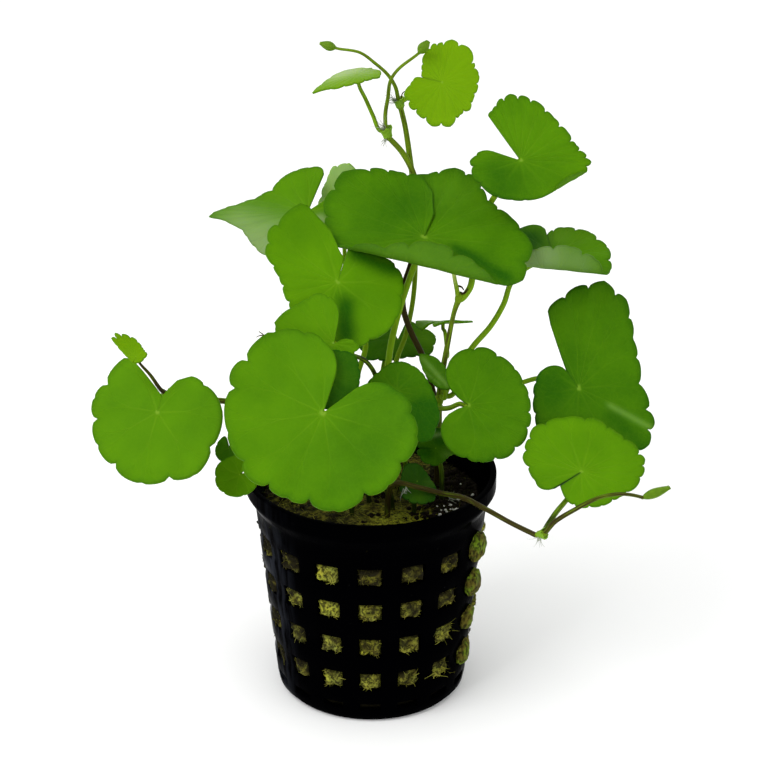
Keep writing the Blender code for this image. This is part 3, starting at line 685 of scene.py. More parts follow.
def blade_points(blade, angle, share, seed):
    """Points of the mid sheet, in mm, for arrays of angle and share.

    Height over the flat sheet = cup * (reach squared / size - 0.7 * size), where
    size is the mean reach, plus the quilting (a cosine of the vein count), plus
    the slow waves. Where the two sides of the slit overlap, the lap lifts the
    first and lowers the last.
    """
    rng = np.random.default_rng(seed)
    limits, reaches = blade["edge"][:2]
    reach = margin_reach(blade, angle) * share
    turn = np.radians(angle)
    size = np.mean(reaches)
    height = blade.get("cup", 0.0) * (reach ** 2 / size - 0.7 * size)
    first, last = np.maximum(angle - limits[0], 0), np.maximum(limits[-1] - angle, 0)
    lap = np.exp(-first / LAP_FADE) - np.exp(-last / LAP_FADE)
    height = height + blade.get("lap", 0.0) * lap * np.clip(share / 0.15, 0, 1)
    amount = min(size / FULL_SIZE, 1.0)
    height = height - QUILT * amount * share * np.cos(2 * math.pi * vein_count(blade, angle))
    for turns in (2, 3, 5):
        phase, strength = rng.uniform(0, 2 * math.pi), rng.uniform(0.4, 1.0)
        wave = strength / turns ** 0.5 * np.sin(turns * turn + phase)
        height = height + WAVE * amount * share ** 2 * wave
    points = polar(reach, turn, height)
    for each in blade.get("bends", ()):
        points = roll(points, *each)
    return np.array(blade["at"], float) + points @ np.stack(blade_axes(blade))


def stalk_place(blade, seed):
    """The middle of the sheet, where the stalk meets it."""
    return blade_points(blade, blade["edge"][0][:1], np.zeros(1), seed)[0]


# %% [markdown]
# ### Green
#
# Four finishes share one recipe: both sides of grown leaves and of young ones.
# Light from above meets the upper side, which is a saturated green with a
# little translucence. The underside is paler and greyer, because there is air
# below its skin. All read three numbers from the mesh: the vein count, the
# share of the way out, and the width of a lobe there in mm. The veins are drawn
# where the vein count is whole, and they fork by moving that place apart as the
# share grows.

# %% Leaf finishes
VEIN_HALF_WIDTH = 0.14                   # mm
FORKS = ((0.42, 0.42), (0.72, 0.4))      # share where a vein forks, and how fast its arms part
STALK_PLACE_GREEN = (0.20, 0.34, 0.03)
# The dark green of a closed slit, and of the painted deep shadow on leaves under the others
SLIT_AND_SHADOW_GREEN = (0.012, 0.04, 0.006)


def leaf_finish(name, dark, light, vein, pale_and_sheen, roughness, vein_strength):
    """A leaf's skin: blotched green, forked veins, a fine net, a pale place at the stalk.

    The mesh also says how light the place is, painted shade included; how much of
    the pale colour it has, which is partly the underside's own and partly a painted
    sheen; and whether it lies at the slit, whose two sides meet in a dark line, or
    under other leaves in painted deep shadow.
    """
    skin = Finish(name, roughness, specular=0.02, subsurface=0.3, radius=(0.7, 1.0, 0.05), scale=0.6)
    count, share, span = skin.attribute("vein")
    tone, pale, slit = skin.attribute("tone")
    away = skin.sum("PINGPONG", count, 0.5)
    for start, spread in FORKS:
        past = skin.sum("MAXIMUM", skin.sum("SUBTRACT", share, start), 0.0)
        away = skin.sum("ABSOLUTE", skin.sum("SUBTRACT", away, skin.times(past, spread)))
    width = skin.between(share, 0.0, 1.0, VEIN_HALF_WIDTH * 1.5, VEIN_HALF_WIDTH * 0.7)
    ridge = skin.between(skin.sum("DIVIDE", skin.times(away, span), width), 0.3, 1.6, 1.0, 0.0)
    net = skin.between(skin.cells(1.1), 0.0, 0.1, 1.0, 0.0)
    grain = skin.noise(0.5, 2.0)
    level = skin.sum("ADD", tone, skin.swing(skin.noise(7.0, 2.0), 0.5))
    level = skin.sum("ADD", level, skin.swing(grain, 0.12))
    level = skin.sum("SUBTRACT", level, skin.times(skin.between(share, 0.9, 0.98), 0.15))
    green = skin.mix(skin.sum("MAXIMUM", skin.sum("MINIMUM", level, 1.0), 0.0), dark, light)
    lines = skin.times(ridge, skin.between(share, 0.05, 0.85, vein_strength, vein_strength * 0.25))
    lines = skin.times(lines, skin.between(tone, 0.0, 0.9, 0.2, 1.0))
    green = skin.mix(skin.sum("MAXIMUM", skin.times(net, 0.06), lines), green, vein)
    # Paleness: the underside's own pale colour, and a painted sheen on blades seen nearly edge-on
    green = skin.mix(skin.times(pale, 0.8), green, pale_and_sheen)
    green = skin.mix(skin.between(share, 0.015, 0.05, 0.5, 0.0), green, STALK_PLACE_GREEN)
    # The margin's dark edge, the slit line and the painted deep shadow all mix towards that dark green
    rim = skin.sum("MAXIMUM", skin.between(share, 0.965, 0.995, 0.0, 0.15), slit)
    skin.colour(skin.mix(rim, green, SLIT_AND_SHADOW_GREEN))
    skin.bump(skin.sum("ADD", skin.times(ridge, -0.5), skin.times(grain, 0.25)), 0.12, 0.5)
    return skin


leaf_upper = leaf_finish("leaf upper side", (0.014, 0.08, 0.001), (0.092, 0.24, 0.0015),
                         (0.14, 0.285, 0.008), (0.22, 0.32, 0.12), 0.5, 0.25)
leaf_under = leaf_finish("leaf underside", (0.028, 0.10, 0.003), (0.09, 0.21, 0.01),
                         (0.12, 0.24, 0.02), (0.20, 0.29, 0.12), 0.55, 0.25)
young_upper = leaf_finish("young leaf upper side", (0.10, 0.225, 0.001), (0.16, 0.315, 0.003),
                          (0.19, 0.34, 0.01), (0.33, 0.45, 0.18), 0.45, 0.15)
young_under = leaf_finish("young leaf underside", (0.11, 0.22, 0.03), (0.23, 0.41, 0.06),
                          (0.26, 0.42, 0.10), (0.45, 0.58, 0.34), 0.5, 0.3)


# %% Make the blades
STEPS_PER_LOBE = 14


def tone_numbers(blade, angle, share):
    """Tone, paleness and slit line for arrays of angle and share.

    A patch adds its amounts times a bell: exp(-(distance from its middle /
    radius) squared); most patches that darken paint the shadow of a leaf above.
    The slit line fades with the distance in mm from the slit, and the blade's
    painted deep shadow (its shade) is added to it.
    """
    reach = margin_reach(blade, angle) * share
    place = polar(reach, np.radians(angle), 0.0)
    tone, pale = np.full(angle.shape, float(blade["tone"])), np.zeros(angle.shape)
    for direction, distance, radius, change, paleness in blade.get("patches", ()):
        gap = np.linalg.norm(place - polar(distance, math.radians(direction), 0.0), axis=-1)
        bell = np.exp(-(gap / radius) ** 2)
        tone, pale = tone + change * bell, pale + paleness * bell
    limits = blade["edge"][0]
    beside = np.minimum(angle - limits[0], limits[-1] - angle)
    slit = blade.get("slit_line", 0.12) * np.exp(-reach * np.radians(np.clip(beside, 0, 90)) / 0.15)
    return np.stack([tone, np.clip(pale, 0, 1), np.clip(slit + blade.get("shade", 0), 0, 1)], axis=-1)


def blade_mesh(blade, seed):
    """The grid of a blade: angle across, share down, with a fan of triangles at the stalk."""
    limits = blade["edge"][0]
    steps = np.linspace(0, 1, STEPS_PER_LOBE, endpoint=False)
    angle = np.append((limits[:-1, None] + np.diff(limits)[:, None] * steps).ravel(), limits[-1])
    rings, columns = blade.get("rings", 20), len(angle)
    share = np.linspace(0, 1, rings + 1)[1:] ** 0.9
    angle, share = np.meshgrid(angle, share)
    points = np.vstack([blade_points(blade, angle, share, seed).reshape(-1, 3), stalk_place(blade, seed)])
    inner = np.arange(columns)
    mesh = mesh_from(points, [grid_faces(rings, columns), fan(rings * columns, inner[:-1], inner[1:])], 60)
    lobe_turn = np.radians(360 / (len(limits) - 0.5))
    span = margin_reach(blade, angle) * share * lobe_turn
    numbers = np.stack([vein_count(blade, angle), share, span], axis=-1).reshape(-1, 3)
    keep_numbers(mesh, "vein", np.vstack([numbers, [0.0, 0.0, 0.0]]))
    tones = tone_numbers(blade, angle, share).reshape(-1, 3)
    keep_numbers(mesh, "tone", np.vstack([tones, [blade["tone"], 0.0, 0.0]]))
    return mesh


leaf_faces = 0
for name, blade in BLADES.items():
    bright = name in BRIGHT_LEAVES
    piece = add_piece("leaf_" + name, blade_mesh(blade, BLADE_SEEDS[name]),
                      (young_upper, young_under) if bright else (leaf_upper, leaf_under),
                      "blade_" + name)
    thicken(piece, LEAF_THICKNESS).material_offset = 1
    leaf_faces += len(piece.data.polygons)
print("leaf faces in one skin:", leaf_faces)

# %% [markdown]
# ## Stalks and stems
#
# A stalk (petiole) carries one blade and a stem carries the nodes that the
# stalks grow from. Both are tubes along a smooth route. On the real plant they
# meet without a gap, so each route here starts inside the stem it grows from
# or in the wool, and a stalk ends in the middle of its blade's underside.

# %% Routes of the stalks and stems
PETIOLES = {
    "front": (0.55, [(4, -6.5, 43), (2.5, -9, 48), (-1.5, -14, 54), (-5.5, -17, 61.5), (-7.5, -21, 68)]),
    "left": (0.5, [(-39.6, -6.2, 64.6), (-40, -9, 64)]),
    "right_low": (0.5, [(32.8, -28.5, 48.4), (35, -24, 49.5), (37.5, -20, 50.5), (39.5, -16.5, 51.5)]),
    "right_mid": (0.5, [(14, 2, 59.5), (15.5, 0, 60.5), (17.5, -2.5, 62.5)]),
    "right_big": (0.5, [(15.7, 4.5, 61), (17.5, 6, 61.7), (22, 7, 61.7), (28.5, 7, 62.3), (34, 7, 63.7)]),
    "top_bright": (0.4, [(6.8, 29, 114.4), (8, 28, 116.5), (10, 27, 117.5), (12.5, 26, 118.3)]),
    "top_right": (0.6, [(18, 8, 80.5), (19.5, 8.5, 82.5), (20, 9, 84.5), (21, 12, 89), (22.5, 17, 93.5),
                        (24, 19.5, 96.5), (26.5, 18.5, 100.5), (28.5, 16.2, 104)]),
    "upper_left": (0.55, [(0, 4, 43), (-2.5, 5, 49), (-3.5, 6, 59.5), (-2.5, 7, 65), (-1, 8, 70.5),
                          (-2.5, 8.5, 76.5), (-5, 7, 82)]),
    "centre_top": (0.65, [(4, 2, 43), (3.5, 3, 56.5), (3.5, 5, 68), (5, 8, 75.5), (7, 10.5, 81.5),
                          (9, 11.5, 87)]),
    "far_left": (0.55, [(-2, 10, 43), (-4, 12, 49), (-4.5, 14, 63), (-6, 17, 72), (-8, 20, 82),
                        (-10.5, 22.3, 89)]),
    "far_right": (0.56, [(14, 5.9, 60), (16.5, 9, 63.5), (20.5, 12, 68.5), (24, 13, 72.5), (26.5, 13.5, 77),
                        (28, 14, 81.5), (31, 14, 84.6), (34, 13.8, 86)]),
    "top_left": (0.4, [(1.9, 27, 108.8), (0.5, 27, 112), (-1, 27, 115.5), (-2, 26.5, 117.7)]),
    "mid_left": (0.45, [(1.5, -0.7, 43), (1.5, 0.5, 62), (1, 0.5, 67), (-1, -2, 71.5), (-3.5, -5.5, 74.3),
                        (-5.5, -8, 76.5)]),
    "notch_back": (0.45, [(-0.5, -4, 43), (-3.5, -9.5, 55), (-6, -13.5, 65), (-7.3, -15.8, 71)]),
    "crown_front": (0.45, [(7, -0.5, 43), (6.5, -0.8, 54), (5.7, -1.8, 61)]),
    "crown_back": (0.45, [(3, 13, 43), (2, 15.5, 50.5), (2.5, 18.3, 61), (3.5, 19.3, 64)]),
    "fold_right": (0.4, [(14.6, 2.3, 61.5), (14.6, 1.7, 63), (13.8, 2, 64.8)]),
    "pot_back": (0.45, [(14, -3.2, 43), (14, -2.8, 47.5), (13.5, -2, 50)]),
    "pot_front": (0.45, [(8.5, -8.2, 43), (8.7, -9, 46), (9, -9.8, 48)]),
    "low_left": (0.45, [(-4, -8.5, 43), (-8, -9, 47.5), (-16, -10, 50), (-21, -11, 51.3), (-24, -12, 51.7)]),
    "low_young": (0.4, [(-5.5, -4.5, 43), (-13, -4.5, 49), (-20, -4.5, 51.5), (-25, -4.3, 52.5)]),
    "thin_back": (0.45, [(-3, 15, 43), (-4, 19, 53.5), (-4.5, 24, 67), (-5.2, 28.5, 80), (-5.7, 31, 87.5)]),
    "edge_back": (0.4, [(15.2, 7.4, 68.5), (15, 10, 70.5), (14.8, 13, 71.3)]),
}

# Each stem: points of (x, y, z, radius), ending below its bud
STEMS = {
    "main": [(13.5, 5, 43, 0.8), (13.5, 4, 51.5, 0.75), (13.5, 4, 59.5, 0.7), (14, 5, 64.5, 0.6),
             (15, 6, 70.5, 0.55), (16.5, 7.5, 78, 0.5), (17.3, 8, 80.2, 0.65)],
    "sprig_front": [(12.6, 6, 60.5, 0.65), (11.5, 8, 65, 0.6), (10, 9, 68.5, 0.6), (8, 10, 72.5, 0.6),
                    (6.5, 11, 77, 0.6), (6.5, 13, 80.5, 0.6), (8, 16, 84.5, 0.6), (9.5, 20, 89, 0.62),
                    (9.5, 24.5, 94, 0.62), (8.8, 26.5, 99.3, 0.6), (6.5, 27, 104, 0.6),
                    (3.5, 27, 107.5, 0.55)],
    "sprig_back": [(5.5, 8.5, 43, 0.6), (5, 9, 53.5, 0.58), (5, 10, 65.5, 0.52), (7, 13, 70.5, 0.5),
                   (8.5, 17, 76.5, 0.5), (9, 21, 83, 0.52), (8.5, 26, 90, 0.55), (8.5, 30, 97.5, 0.58),
                   (8, 30.5, 101.5, 0.6), (7, 30, 108.5, 0.55), (6, 29.5, 113, 0.55)],
    "sprig_front_tip": [(3.2, 27, 108.4, 0.45), (3, 27, 112, 0.42), (3.5, 27, 115.5, 0.38),
                        (4, 27, 119, 0.36), (5.5, 26.5, 121.5, 0.33), (9, 26, 124.5, 0.3),
                        (9.8, 26, 125.2, 0.28)],
    "sprig_back_tip": [(5.7, 29.5, 113.9, 0.45), (5, 29.5, 117, 0.4), (3.5, 29.5, 119.5, 0.36),
                       (1, 29, 122, 0.33), (-2, 28, 124.5, 0.3), (-6, 26.5, 125.7, 0.28),
                       (-7, 26.3, 126, 0.28)],
    "runner_right": [(3.2, -9.5, 43, 0.6), (3.4, -10.5, 46.5, 0.58), (4, -12.3, 49.6, 0.56),
                     (5.8, -13.5, 50.7, 0.55), (8, -13.7, 50.2, 0.55), (10.5, -13.5, 49.4, 0.54),
                     (13.5, -14, 48.8, 0.53), (17.5, -17, 49.4, 0.52), (22, -22.5, 49.6, 0.5),
                     (26.5, -27, 49, 0.48), (31, -30, 48, 0.5)],
    "runner_right_tip": [(32.4, -30.7, 48.8, 0.48), (34.5, -29.5, 50.6, 0.46), (38.5, -28.5, 52.8, 0.44),
                         (42, -27, 54, 0.4), (44.5, -26, 54.3, 0.38), (47, -25, 54.1, 0.36),
                         (49.6, -23.5, 53.1, 0.34), (51.6, -22.5, 52.1, 0.34)],
    "runner_left": [(3.7, -3.6, 43, 0.8), (2, -4, 47, 0.8), (-4, -4, 52, 0.8), (-14, -2, 58, 0.75),
                    (-23.5, -1.5, 61.5, 0.65), (-29, -1.5, 62.8, 0.6), (-35.5, -2.5, 63.4, 0.58),
                    (-38.5, -3.9, 64.3, 0.6)],
    "runner_left_tip": [(-39.7, -5.2, 66.2, 0.5), (-40.5, -6.4, 67.4, 0.42), (-42.3, -8.2, 71.4, 0.33),
                        (-43.9, -10.2, 74.6, 0.26), (-44.5, -11.2, 76.4, 0.22)],
}
# How brown each stem and stalk is: 0 is green, 1 is brown, and a pair is for low down and high up
BROWN = {"main": 0.5, "sprig_front": (1.1, 0.4), "sprig_back": (-0.1, 0.35), "sprig_front_tip": 0.35,
         "sprig_back_tip": 0.4, "runner_right": 0.9, "runner_right_tip": 0.75, "runner_left": 0.7,
         "runner_left_tip": 0.9}
DARK_STALKS = {"mid_left": 0.75, "left": 0.6, "notch_back": 0.5, "crown_back": 0.5, "top_left": 0.35,
               "right_low": 0.35, "right_mid": 0.35}
WOOL_TOP = 42.0
STEM_LINES = {name: smooth_route(points, 60) for name, points in STEMS.items()}


def rooted(name, route):
    """Starts a route where it grows from: in the wool, or inside the nearest other stem.

    A route that starts less than 2 mm above the wool's top comes straight up
    from 3 mm below it. Any other gets a new first point: the place on the
    middle lines of the other stems that is nearest to its start.
    """
    start = np.asarray(route[0], float)
    if start[2] < WOOL_TOP + 2:
        below = start.copy()
        below[2] = WOOL_TOP - 3
        return [tuple(below)] + list(route)
    others = np.vstack([line for other, line in STEM_LINES.items() if other != name])
    distance = np.linalg.norm(others[:, :3] - start[:3], axis=1)
    nearest = others[np.argmin(distance)].copy()
    nearest[3] = min(nearest[3], start[3]) if len(start) > 3 else 0
    return [tuple(nearest[:len(start)])] + list(route)


# %% [markdown]
# ### Finish of the stalks
#
# A stalk is pale yellow-green and lets light through; a stem is olive and turns
# brown where the sun reaches it. Both are streaked lengthways, so the noise is
# drawn on the way round and the way along the tube, and squeezed across it.

# %% Stalk and stem finish
def stalk_finish(name, green, brown, roughness):
    """Lengthways streaks from green to brown; the mesh's tone moves the balance."""
    skin = Finish(name, roughness, specular=0.03, subsurface=0.25, radius=(0.8, 1.0, 0.2), scale=0.8)
    way_round, along = skin.attribute("along")[:2]
    tone = skin.attribute("tone")[0]
    place = skin.tree.nodes.new("ShaderNodeCombineXYZ")
    skin.feed(place.inputs[0], skin.times(skin.sum("PINGPONG", way_round, 0.5), 9.0))
    skin.feed(place.inputs[1], skin.times(along, 0.16))
    line = skin.between(skin.noise(1.0 / MM, 4.0, place.outputs[0]), 0.3, 0.7)
    level = skin.sum("ADD", tone, skin.swing(line, 0.55))
    level = skin.sum("ADD", level, skin.swing(skin.noise(4.0), 0.7))
    skin.colour(skin.mix(skin.between(level, 0.1, 0.95), green, brown))
    skin.bump(line, 0.05, 0.5)
    return skin


petiole_green = stalk_finish("stalk", (0.16, 0.30, 0.007), (0.02, 0.032, 0.004), 0.4)
stem_olive = stalk_finish("stem", (0.14, 0.24, 0.008), (0.034, 0.026, 0.006), 0.42)
pale_stalk = stalk_finish("pale stalk", (0.42, 0.52, 0.13), (0.16, 0.28, 0.01), 0.4)

# %% Make the stalks and stems
FOOT_TOP, FOOT_FADE = 52.0, 9.0       # mm: below this height a stalk turns brown, over this length
DEEP_BROWN = 1.3
LOW_STEM, HIGH_STEM = 82.0, 94.0      # heights in mm that BROWN's low and high tones belong to
PALE, PALE_TOP = 0.12, 0.1            # tone of a usual stalk, and of every stalk below its blade
PLACES_PER_STOP = 16


def add_tube(name, route, radius, finish, tone, node=None):
    """A stalk, stem or bract, for a node of the model if it names one.

    Its foot turns brown, except on a runner, which is brown already.
    """
    mesh = tube_mesh(route, radius)
    foot = np.clip((FOOT_TOP - route[:, 2]) / FOOT_FADE, 0, 1)
    if name.startswith("stem_line_runner"):
        foot[:] = 0
    keep_numbers(mesh, "tone", np.repeat(tone + (DEEP_BROWN - tone) * foot, 3 * TUBE_SIDES))
    return add_piece(name, mesh, [finish], node)


# A stalk tapers upwards, and flares where it meets its blade from below
for name, (radius, points) in PETIOLES.items():
    blade = BLADES[name]
    normal = blade_axes(blade)[2]
    centre = stalk_place(blade, BLADE_SEEDS[name])
    stops = rooted(name, points) + [tuple(centre - normal * below) for below in (1.1, 0.1)]
    route = smooth_route(stops, PLACES_PER_STOP * len(stops))
    share = np.linspace(0, 1, len(route))
    width = radius * (1.12 - 0.2 * share + 0.3 * np.clip((share - 0.96) / 0.04, 0, 1) ** 2)
    tone = DARK_STALKS.get(name, PALE)
    tone = tone + (PALE_TOP - tone) * np.clip((share - 0.85) / 0.1, 0, 1)
    add_tube("stalk_" + name, route, width, petiole_green, tone, "petiole_" + name)

for name, points in STEMS.items():
    stops = rooted(name, points)
    route = smooth_route(stops, PLACES_PER_STOP * len(stops))
    tone = np.interp(route[:, 2], (LOW_STEM, HIGH_STEM), np.broadcast_to(BROWN[name], 2))
    add_tube("stem_line_" + name, route[:, :3], route[:, 3], stem_olive, tone, "stem_" + name)

# The other arm of the main stem's fork, up to the underside of the blade above it: x, y, z, radius
FORK_ARM = [(17.4, 8, 79.6, 0.45), (17.2, 8, 80.8, 0.52), (16.9, 7.7, 82.6, 0.46),
            (16.5, 7.4, 84.6, 0.42), (16.3, 7.2, 85.8, 0.41), (16.0, 7.0, 86.9, 0.42),
            (15.6, 6.8, 88.6, 0.42), (15.2, 6.5, 90.2, 0.42)]
FORK_FADE = (82.0, 87.0)              # mm: it is brown below and pale above
route = smooth_route(FORK_ARM, 48)
tone = np.interp(route[:, 2], FORK_FADE, (1.2, 0.1))
add_tube("stalk_fork", route[:, :3], route[:, 3], pale_stalk, tone)
print("tubes:", len(PETIOLES) + len(STEMS) + 1)

# %% [markdown]
# ## Nodes, sheaths and buds
#
# Where a stalk leaves a stem, the stem is a little thicker and wears a sheath:
# a thin papery collar with a torn edge. Fine roots and white hairs grow there.
# The stems end in buds, wrapped in green scales.
#
# A sheath is a sheet of the turn round the stem and the height up it, and it
# opens like a trumpet. A scale is a spoon: wide in the middle, pointed at its
# tip. Both get their thickness from a Solidify modifier.

# %% Nodes and their sheaths
NODE_LENGTH = 2.6
SHEATH_THICKNESS = 0.1
FIRST_SHEATH_SEED = 300


def axes_along(direction):
    """A direction as a unit vector, and two unit vectors square to it."""
    direction = unit(np.asarray(direction, float))
    helper = np.array([1.0, 0.0, 0.0]) if abs(direction[0]) < 0.7 else np.array([0.0, 1.0, 0.0])
    first = unit(np.cross(direction, helper))
    return direction, first, np.cross(direction, first)


def sheath_mesh(foot, direction, radius, height, seed):
    """A trumpet round a stem: radius grows with the square of height, and the edge is torn.

    The torn edge comes from three sines of the turn with seeded phases.
    """
    rng = np.random.default_rng(seed)
    heading, first, second = axes_along(direction)
    turn, up = np.meshgrid(np.linspace(0.3, 2 * math.pi - 0.3, 40), np.linspace(0, 1, 10))
    torn = sum(np.sin(k * turn + rng.uniform(0, 6)) / k for k in (3, 7, 11)) * 0.35
    length = height * up * (1 + torn * up)
    wide = radius * (1.02 + 0.55 * up ** 2)
    points = foot + heading * length[..., None] + wide[..., None] * ring_about(first, second, turn)
    return mesh_from(points, [grid_faces(10, 40)[:, ::-1]], 60)


def swelling_mesh(centre, direction, radius):
    """A spindle round a node: the radius is a half wave along the stem."""
    along = np.linspace(-1, 1, 15)
    route = centre + axes_along(direction)[0] * along[:, None] * NODE_LENGTH / 2
    return tube_mesh(route, radius * (0.2 + 0.8 * np.cos(along * math.pi / 2) ** 0.6))


sheath_green = blotched("sheath", 0.5, 1.2, (0.10, 0.24, 0.005), (0.22, 0.38, 0.03), (0.25, 0.05, 0.6),
                        specular=0.05, subsurface=0.4, scale=0.5)

# node: middle, direction of the stem, radius, sheath height (0: it has lost its sheath)
NODES = {
    "sprig_low": ((3.4, 27, 107.9), (-0.3, 0, 1), 0.95, 1.9),
    "sprig_high": ((5.9, 29.5, 113.4), (-0.25, 0, 1), 0.9, 1.7),
    "main_top": ((17.4, 8, 80.6), (0.3, 0.2, 1), 0.85, 0),
    "main_low": ((13.5, 4.2, 60.2), (0, 0.1, 1), 0.95, 0),
    "runner_right": ((31.8, -30.4, 48.4), (0.8, -0.4, 0.4), 0.75, 1.4),
    "runner_foot": ((8.2, -4.7, 44.9), (0.6, -0.6, 0.4), 0.8, 1.6),
    "runner_left": ((-39.4, -4.1, 65.1), (-0.4, -0.3, 0.8), 0.8, 1.6),
    "runner_left_mid": ((-24, -1.5, 61.6), (-1, 0, 0.3), 0.8, 1.4),
}
for number, (name, (middle, direction, radius, height)) in enumerate(NODES.items()):
    body = swelling_mesh(np.array(middle), direction, radius)
    keep_numbers(body, "tone", np.full((len(body.vertices), 3), PALE_TOP))
    add_piece("node_" + name, body, [stem_olive])
    if height:
        foot = np.array(middle) - unit(np.array(direction, float)) * 0.5
        mesh = sheath_mesh(foot, direction, radius * 0.92, height, FIRST_SHEATH_SEED + number)
        thicken(add_piece("sheath_" + name, mesh, [sheath_green]), SHEATH_THICKNESS)

# Dry bracts and broken stubs: radius, then their route
BRACTS = {
    "main_top_a": (0.24, [(17.2, 8, 83.1), (17.8, 7.8, 83), (18.3, 7.6, 82.4)]),
    "main_top_b": (0.26, [(17.7, 7.6, 81.7), (18.4, 7.6, 81.8), (19.1, 7.8, 82.6)]),
    "sprig_high": (0.14, [(6.0, 29, 114.2), (6.5, 28.8, 116), (7.4, 28.8, 116.4), (7.0, 28.6, 115)]),
    "front_stub": (0.15, [(-19.9, -12.2, 80.9), (-20.4, -12.2, 81.6), (-21.1, -12.3, 82.2)]),
    "front_stub_low": (0.13, [(-20.2, -12.2, 81.3), (-20.9, -12.2, 81.3), (-21.6, -12.3, 81.0)]),
}
for name, (radius, points) in BRACTS.items():
    taper = radius * np.linspace(1.0, 0.5, 16)
    add_tube("bract_" + name, smooth_route(points, 16), taper, stem_olive, DEEP_BROWN)
print("nodes:", len(NODES), "bracts:", len(BRACTS))


# %% Buds
SCALE_THICKNESS = 0.14
SCALE_SPREAD = 1.9      # radians to each side of a scale's middle


def scale_mesh(base, tip, width, middle_turn, open_by):
    """A spoon wrapped round the line from base to tip.

    Width = sine of (share to the power 0.8) of the way, and the tip leans out
    by open_by times the square of the share.
    """
    heading, first, second = axes_along(tip - base)
    length = np.linalg.norm(tip - base)
    share, across = np.meshgrid(np.linspace(0, 1, 16), np.linspace(-1, 1, 13), indexing="ij")
    wide = width * np.sin(math.pi * np.clip(share, 0.04, 0.97) ** 0.8)
    out = wide + open_by * width * share ** 2
    turn = middle_turn + across * SCALE_SPREAD
    points = base + heading * (share * length)[..., None] + out[..., None] * ring_about(first, second, turn)
    return mesh_from(points, [grid_faces(16, 13)[:, ::-1]], 60)


bud_green = blotched("bud scales", 0.42, 1.0, (0.055, 0.13, 0.004), (0.13, 0.24, 0.008), (0.3, 0.06, 0.6),
                     specular=0.08, subsurface=0.3, scale=0.6)

# bud: base, tip, half width
BUDS = {
    "sprig_back": ((-6.6, 26.4, 125.9), (-9.8, 26, 126.9), 0.85),
    "sprig_front": ((9.5, 26, 124.9), (11.4, 26, 127.4), 0.95),
    "runner_right": ((51.4, -22.6, 52.0), (57.0, -20, 53.0), 0.85),
}
SCALES = ((0.4, 0.1), (3.5, 0.35))      # turn of a scale's middle in radians, and how far its tip opens
for name, (base, tip, width) in BUDS.items():
    for k, (middle_turn, open_by) in enumerate(SCALES):
        mesh = scale_mesh(np.array(base, float), np.array(tip, float), width, middle_turn, open_by)
        thicken(add_piece(f"bud_{name}_{k}", mesh, [bud_green]), SCALE_THICKNESS)
print("bud scales:", len(BUDS) * len(SCALES))

# %% [markdown]
# ## Hairs, roots and fibres
#
# Hairs at the nodes, fine roots and the wool's fibres are one shape: a thin
# tapered thread that bends once. There are thousands of them, so all threads
# of a tuft are one mesh, worked out together, and each has only a few faces.

# %% Threads
THREAD_STEPS, THREAD_SIDES = 4, 3
TUFT_STEPS = 7
FIRST_TUFT_SEED = 500


def threads_mesh(roots, directions, lengths, radius, bends, steps=THREAD_STEPS):
    """Tapered threads: place = root + length * (share * direction + share squared * bend).

    roots, directions and bends hold one row for each thread. The radius falls
    by two thirds towards the tip.
    """
    count = len(roots)
    share = np.linspace(0, 1, steps + 1)[None, :, None]
    lean = share * directions[:, None] + share ** 2 * bends[:, None]
    line = roots[:, None] + lengths[:, None, None] * lean
    helper = np.where(np.abs(directions[:, :1]) < 0.7, [[1.0, 0, 0]], [[0, 1.0, 0]])
    first = unit(np.cross(directions, helper))
    second = np.cross(directions, first)
    turn = np.linspace(0, 2 * math.pi, THREAD_SIDES, endpoint=False)
    ring = ring_about(first[:, None, None], second[:, None, None], turn)
    wide = np.broadcast_to(radius, count)[:, None, None] * (1 - 0.66 * share)
    groups = capped_faces(steps + 1, THREAD_SIDES)
    faces = [copies(group, count, (steps + 1) * THREAD_SIDES) for group in groups]
    return mesh_from(line[:, :, None] + ring * wide[..., None], faces, 180)


def random_directions(rng, count):
    """Unit vectors evenly over all directions: normal draws, scaled to length 1."""
    return unit(rng.normal(size=(count, 3)))


root_white = blotched("fine root", 0.5, 1.5, (0.20, 0.23, 0.16), (0.50, 0.53, 0.44), specular=0.2)

# tuft: middle, general direction, number, length, radius
TUFTS = {
    "sprig_low_up": ((2.9, 26.6, 109.2), (-0.5, -0.2, 1), 26, 2.8, 0.045),
    "sprig_low_down": ((3.1, 26.6, 107.2), (-0.9, -0.3, -0.9), 20, 2.2, 0.045),
    "sprig_high": ((5.2, 28.9, 114.2), (-1.0, -0.4, 0.7), 34, 3.2, 0.045),
    "front_hair": ((-16.8, -6, 83.2), (0, 0, 1), 1, 2.4, 0.05),
    "runner_foot": ((6.6, -14.1, 50.0), (-0.1, -0.5, -1), 9, 1.9, 0.11),
    "runner_right": ((31.6, -31.0, 48.0), (-0.5, -0.8, -0.7), 9, 2.2, 0.08),
    "left_mid": ((-24.2, -2.3, 61.2), (-0.1, -0.6, -1), 9, 3.4, 0.08),
    "pot_back": ((15.5, -4.5, 42.6), (0.9, -0.3, 0.25), 9, 2.6, 0.08),
}
for number, (name, (middle, direction, count, length, radius)) in enumerate(TUFTS.items()):
    rng = np.random.default_rng(FIRST_TUFT_SEED + number)
    heading = unit(unit(np.array(direction, float)) + 0.55 * random_directions(rng, count))
    roots = np.array(middle) + 0.35 * random_directions(rng, count)
    lengths = length * rng.uniform(0.5, 1.1, count)
    mesh = threads_mesh(roots, heading, lengths, radius, 0.6 * random_directions(rng, count), TUFT_STEPS)
    add_piece("tuft_" + name, mesh, [root_white])
print("tufts:", len(TUFTS))

